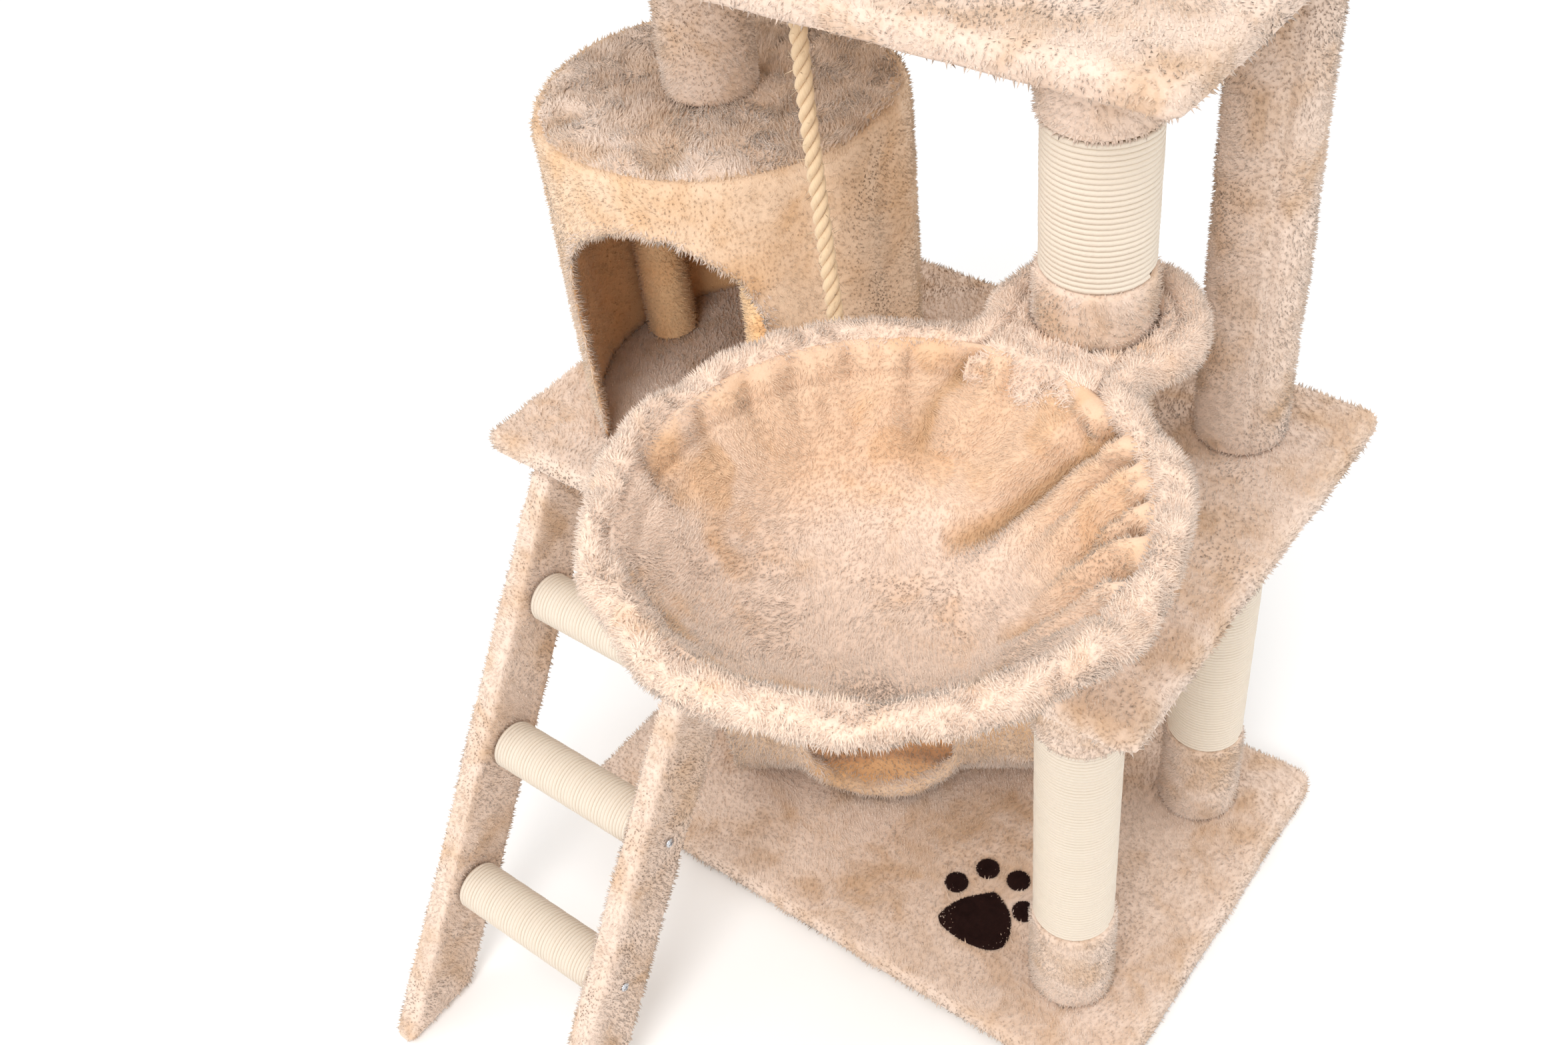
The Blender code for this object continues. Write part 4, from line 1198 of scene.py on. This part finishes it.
def pleatRise(flat):
    # how far the cloth stands in (+) or out (-) at each flat place about the bowl's middle
    v = bowlValues
    rise = np.zeros(len(flat))
    for depth, width, line in v["pleats"]:
        corners = np.array([(r * math.cos(math.radians(a)), r * math.sin(math.radians(a))) for a, r in line])
        best, share = np.full(len(flat), 9.0), np.zeros(len(flat))
        for k, (a, b) in enumerate(zip(corners, corners[1:])):
            t = np.clip(((flat - a) @ (b - a)) / ((b - a) @ (b - a)), 0, 1)
            gap = np.hypot(*(flat - a - t[:, None] * (b - a)).T)
            nearer = gap < best
            best = np.where(nearer, gap, best)
            share = np.where(nearer, (k + t) / (len(corners) - 1), share)
        wide = width * (1 + v["pleatSpread"] * share)
        fade = depth * (1 - share) ** 0.55
        rise -= fade * np.exp(-(best / wide) ** 1.4)
        rise += fade * v["crest"] * hill(best - 2.2 * wide, 1.2 * wide)
    return rise


def bowlZ(reach):
    # the plain bowl's height over the rim's middle
    v = bowlValues
    return v["edgeLift"] - (v["depth"] + v["edgeLift"]) * (1 - (reach / v["edge"]) ** v["curve"])


def makeBowl():
    v = bowlValues
    edge, sides, rings = v["edge"], v["sides"], v["rings"]
    shares = np.linspace(0, 1, rings + 1)[1:] ** 0.7
    angles = np.arange(sides) * math.tau / sides
    reach = (shares[:, None] * edge * np.ones(sides)).ravel()
    flat = reach[:, None] * np.tile(np.stack([np.cos(angles), np.sin(angles)], axis=1), (rings, 1))
    flat = np.concatenate([[[0.0, 0.0]], flat])
    reach = np.concatenate([[0.0], reach])
    slope = (bowlZ(reach + 1e-4) - bowlZ(reach)) / 1e-4
    away = flat / np.maximum(reach, 1e-9)[:, None]
    normal = np.concatenate([-away * slope[:, None], np.ones((len(reach), 1))], axis=1)
    normal /= np.linalg.norm(normal, axis=1)[:, None]
    base = np.concatenate([flat, (rimZ + bowlZ(reach))[:, None]], axis=1)
    pleats = pleatRise(flat) * (1 - (1 - np.clip((edge - reach) / v["rimFade"], 0, 1)) ** 2)
    rise = pleats + lumps(base, v["lumps"])
    height, place, width = v["slump"]
    rise += height * hill(reach - place, width) * softNoise(base, *v["slumpLumps"])
    inward, depth, width = v["seam"]
    rise -= depth * hill(edge - inward - reach, width)
    gathered = np.clip(np.cos(np.arctan2(flat[:, 1], flat[:, 0]) - v["bulgeAngle"]), 0, 1)
    height, place, width = v["bulge"]
    rise += height * gathered * hill(reach - place, width)
    top = base + normal * rise[:, None]
    under = top - normal * v["cloth"]
    for layer in (top, under):
        layer[:, :2] += bowlMiddle
    faces = [(0, 1 + j, 1 + (j + 1) % sides) for j in range(sides)]
    faces += ringFaces(rings, sides, first=1, flip=True)
    last = 1 + (rings - 1) * sides
    mesh = facingOut(closedSheet("bowl", top, under, faces, list(range(last, last + sides))))
    # painted shade deepens the colour in the pleats and on the back wall and darkens the pleats' creases; the
    # colour also deepens where the nap is crushed
    far = np.clip((reach - 0.070) / 0.03, 0, 1)
    shadeAndCrush = np.clip(-pleats / v["fullDepth"], 0, 1) ** 0.8
    shadeAndCrush = np.maximum(shadeAndCrush, 0.8 * np.clip((lumps(base, v["crushed"]) - 0.1) / 0.5, 0, 1) * far)
    shadeAndCrush = np.maximum(shadeAndCrush, 0.55 * far * np.clip(flat[:, 1] / 0.06 + 0.4, 0, 1))
    creaseShading = np.clip(-pleats / v["creaseDepth"], 0, 1) ** 1.6
    writeMask(mesh, "shadeAndCrush", np.tile(shadeAndCrush, 2))
    writeMask(mesh, "creaseShading", np.tile(creaseShading, 2))
    writeMask(mesh, "cover", np.concatenate([np.where(reach > edge - 0.004, 0.0, 1.0),
                                             np.where(reach > edge - 0.012, 0.0, v["underCover"])]))
    return mesh


def makeNeck():
    # the cloth between the post and the bowl, crumpled where it is drawn in
    v = neckValues
    grid = np.stack(np.meshgrid(np.linspace(*v["along"]), np.linspace(*v["across"]), indexing="ij"), axis=-1)
    rows, columns = grid.shape[:2]
    grid = grid.reshape(-1, 2)
    reach = np.hypot(grid[:, 0] - rimValues["reach"], grid[:, 1])
    height = bowlZ(np.clip(reach, 0, bowlValues["edge"]))
    rise, place, width = v["tilt"]
    height += rise * np.clip((place - grid[:, 0]) / width, -1.2, 1)
    height += lumps(np.c_[grid, np.zeros(len(grid))], v["lumps"])
    depth, place, width = v["seam"]
    height -= depth * hill(grid[:, 0] - place, width)
    depth, place, width = v["endDrop"]
    height -= depth * np.clip((np.abs(grid[:, 1]) - place) / width, 0, 1) ** 2
    top = np.c_[grid, height]
    faces = [(i * columns + j, (i + 1) * columns + j, (i + 1) * columns + j + 1, i * columns + j + 1)
             for i in range(rows - 1) for j in range(columns - 1)]
    edge = ([i * columns for i in range(rows)] + [(rows - 1) * columns + j for j in range(1, columns)]
            + [i * columns + columns - 1 for i in range(rows - 2, -1, -1)] + list(range(columns - 2, 0, -1)))
    mesh = closedSheet("neck", top, top - (0, 0, v["cloth"]), faces, edge)
    mesh.transform(toRow)
    writeMask(mesh, "cover", np.repeat((1.0, 0.0), len(top)))
    return facingOut(mesh)


def makeWeb():
    v = neckValues
    web = lathe("web", [(radius, rimZ + height) for radius, height in v["web"]], post.xy, v["webSides"])
    web = crumple(subdivided(web), v["webLumps"])
    writeMask(web, "cover", readNormals(web)[:, 2] > 0.1)
    return smoothShaded(web)


def makeDisc():
    v = neckValues
    low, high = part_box("hammock_disc")
    profile = tubeProfile(v["discBore"], (high.x - low.x) / 2 - v["discInset"], low.z, high.z, v["discEdge"])
    disc = lathe("disc", profile, post.xy, v["discSides"])
    writeMask(disc, "cover", np.hypot(*(readPoints(disc)[:, :2] - post.xy).T) > 0.034)
    return disc


def hammockPiece(name, mesh, stands, pile):
    return plushPiece(name, mesh, "hammock", peachPlush, stands, pile)


rim = hammockPiece("hammock_sleeve", makeRim(), ["hammock_rim"], rimValues["pile"])
bowl = hammockPiece("hammock_cloth", makeBowl(), ["hammock_bowl"], bowlValues["pile"])
hammockPiece("hammock_web", makeWeb(), (), neckValues["pile"])
hammockPiece("hammock_neck", makeNeck(), (), neckValues["pile"])
hammockPiece("hammock_clamp_cover", makeDisc(), ["hammock_disc"], neckValues["discPile"])
print("Hammock built")


# Perch bolster: a stuffed roll, sewn down along its underside
bolsterValues = {
    "voxel": 0.0060, "inset": 0.0030, "fill": {"pressure": 4.0, "ease": 0.16, "cap": 0.0055, "frames": 20},
    "sewnHeight": 0.008, "lumps": ((0.035, 0.0012, 51), (0.014, 0.0008, 53)), "lift": 0.0006, "under": 0.2,
    "pile": {"density": 120000, "length": 0.0042, "width": 0.0014},
}


def makeBolster():
    v = bolsterValues
    low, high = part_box("perch_bolster")
    mesh = inset(remeshed(shellOf("perch_bolster"), v["voxel"], 1), v["inset"])
    mesh = swollen(mesh, v["voxel"], v["fill"], lambda p: p[:, 2] < low.z + v["sewnHeight"])
    crumple(mesh, v["lumps"])
    writePoints(mesh, np.clip(readPoints(mesh), np.array(low) + (0, 0, v["lift"]), np.array(high)))
    coverMask(mesh, v["under"])
    return smoothShaded(mesh)


bolster = plushPiece("perch_bolster_plush", makeBolster(), "stand", beigePlush, ["perch_bolster"],
                     bolsterValues["pile"])
print("Perch bolster filled")


# Paw print: dark flock on the base
def makePatch(name, outline):
    # a thin closed patch that fills a flat outline, a little rounded at its edge
    v = pawValues
    outline = np.array([tuple(p)[:2] for p in outline])
    middle, count, levels = outline.mean(axis=0), len(outline), len(v["rings"])
    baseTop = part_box("base_cover")[1].z
    points = [(*middle, baseTop + v["top"])]
    for share in v["rings"][1:]:
        height = baseTop + v["top"] - v["round"] * max(0.0, (share - 0.85) / 0.15) ** 2
        points += [(*(middle + (p - middle) * share), height) for p in outline]
    points += [(*p, baseTop + v["bottom"]) for p in outline]
    faces = [(0, 1 + j, 1 + (j + 1) % count) for j in range(count)]
    faces += ringFaces(levels, count, first=1, flip=True)
    faces.append(tuple(reversed(range(1 + (levels - 1) * count, 1 + levels * count))))
    mesh = facingOut(smoothShaded(meshFrom(name, points, faces)))
    writeMask(mesh, "cover", readPoints(mesh)[:, 2] > baseTop - 0.0005)
    plushPiece(name, mesh, "stand", darkFlock, (), v["pile"])


makePatch("paw_pad", smoothRoute([(*p, 0.0) for p in pawValues["pad"]], closed=True))
toeSides = pawValues["toeSides"]
for number, toe in enumerate(pawValues["toes"], start=1):
    ring = arcPoints(toe, pawValues["toeRadius"], 0.0, math.tau * (toeSides - 1) / toeSides, toeSides)
    makePatch(f"paw_toe_{number}", ring)
print("Paw print flocked")


# Screws: cross-head, on the outer faces of the ladder's sides
screwValues = {
    "radius": 0.0042, "height": 0.0016, "slot": (0.0052, 0.0011, 0.0018),
    "spots": ((-0.3035, 0.2233), (-0.3837, 0.1175), (-0.2230, 0.3410)),  # (y, z) on each outer face
}


def buildScrewTree():
    tree, given, made = newTree(
        "crossHeadScrews", "GeometryNodeTree",
        {"Spots": "Geometry", "Radius": 0.0042, "Height": 0.0016, "Slot": "Vector", "Finish": "Material"},
        {"Screws": "Geometry"},
    )
    ball = addNode(tree, "GeometryNodeMeshUVSphere", {"Segments": 24, "Rings": 12, "Radius": given["Radius"]})
    size = combined(tree, 1.0, 1.0, calc(tree, "DIVIDE", given["Height"], given["Radius"]))
    cut = addNode(tree, "GeometryNodeTransform", {"Geometry": ball.outputs["Mesh"], "Scale": size}).outputs[0]
    lift = combined(tree, z=given["Height"])
    for turn in (0.0, math.pi / 2):
        bar = addNode(tree, "GeometryNodeMeshCube", {"Size": given["Slot"]})
        bar = addNode(tree, "GeometryNodeTransform", {"Geometry": bar.outputs["Mesh"], "Translation": lift,
                                                      "Rotation": (0.0, 0.0, turn)})
        cut = addNode(tree, "GeometryNodeMeshBoolean", {"Mesh 1": cut, "Mesh 2": bar.outputs[0]},
                      operation="DIFFERENCE").outputs[0]
    facing = {"Vector": named(tree, "facing", "FLOAT_VECTOR")}
    turned = addNode(tree, "FunctionNodeAlignRotationToVector", facing, axis="Z").outputs[0]
    placed = addNode(tree, "GeometryNodeInstanceOnPoints",
                     {"Points": given["Spots"], "Instance": cut, "Rotation": turned})
    whole = addNode(tree, "GeometryNodeRealizeInstances", {0: placed.outputs[0]})
    return finished(tree, given, made, whole.outputs[0])


outerRight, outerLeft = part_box("ladder_stringer_right")[1].x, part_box("ladder_stringer_left")[0].x
spots = [(x, y, z) for x in (outerRight, outerLeft) for y, z in screwValues["spots"]]
screwSpots = meshFrom("screws", spots, [])
facing = screwSpots.attributes.new("facing", "FLOAT_VECTOR", "POINT")
facing.data.foreach_set("vector", [1.0, 0, 0] * 3 + [-1.0, 0, 0] * 3)
screws = runTree(buildScrewTree(), screwSpots, {
    "Radius": screwValues["radius"], "Height": screwValues["height"], "Slot": screwValues["slot"],
    "Finish": zincSteel})
newPiece("ladder_screws", screws, "stand", zincSteel)


# Staple: holds the winding's end on the front right post
stapleValues = {
    "place": (0.2386, -0.1425, 0.8611), "turn": math.radians(-50), "size": (0.0009, 0.0100, 0.0011),
    "bevel": 0.0003,
}
bm = bmesh.new()
bmesh.ops.create_cube(bm, size=1.0, matrix=Matrix.Diagonal((*stapleValues["size"], 1.0)))
bmesh.ops.bevel(bm, geom=bm.edges[:], offset=stapleValues["bevel"], segments=2, affect="EDGES")
bmesh.ops.transform(bm, verts=bm.verts, matrix=Matrix.Translation(stapleValues["place"])
                    @ Matrix.Rotation(stapleValues["turn"], 4, "Z"))
newPiece("winding_staple", smoothShaded(meshOf(bm, "staple")), "stand", zincSteel)
print("Screws and staple set")


# Inner pieces that stay as CAD solids
for name, node in nodes.items():
    if node.hide_render:
        continue
    inner = (chipboard if name.endswith("_board") else kraftPaper if name.endswith("_tube")
             else zincSteel if name in ("hammock_frame", "hammock_stud") else softwood)
    node.data.materials.clear()
    node.data.materials.append(inner)
print("Inner pieces finished")
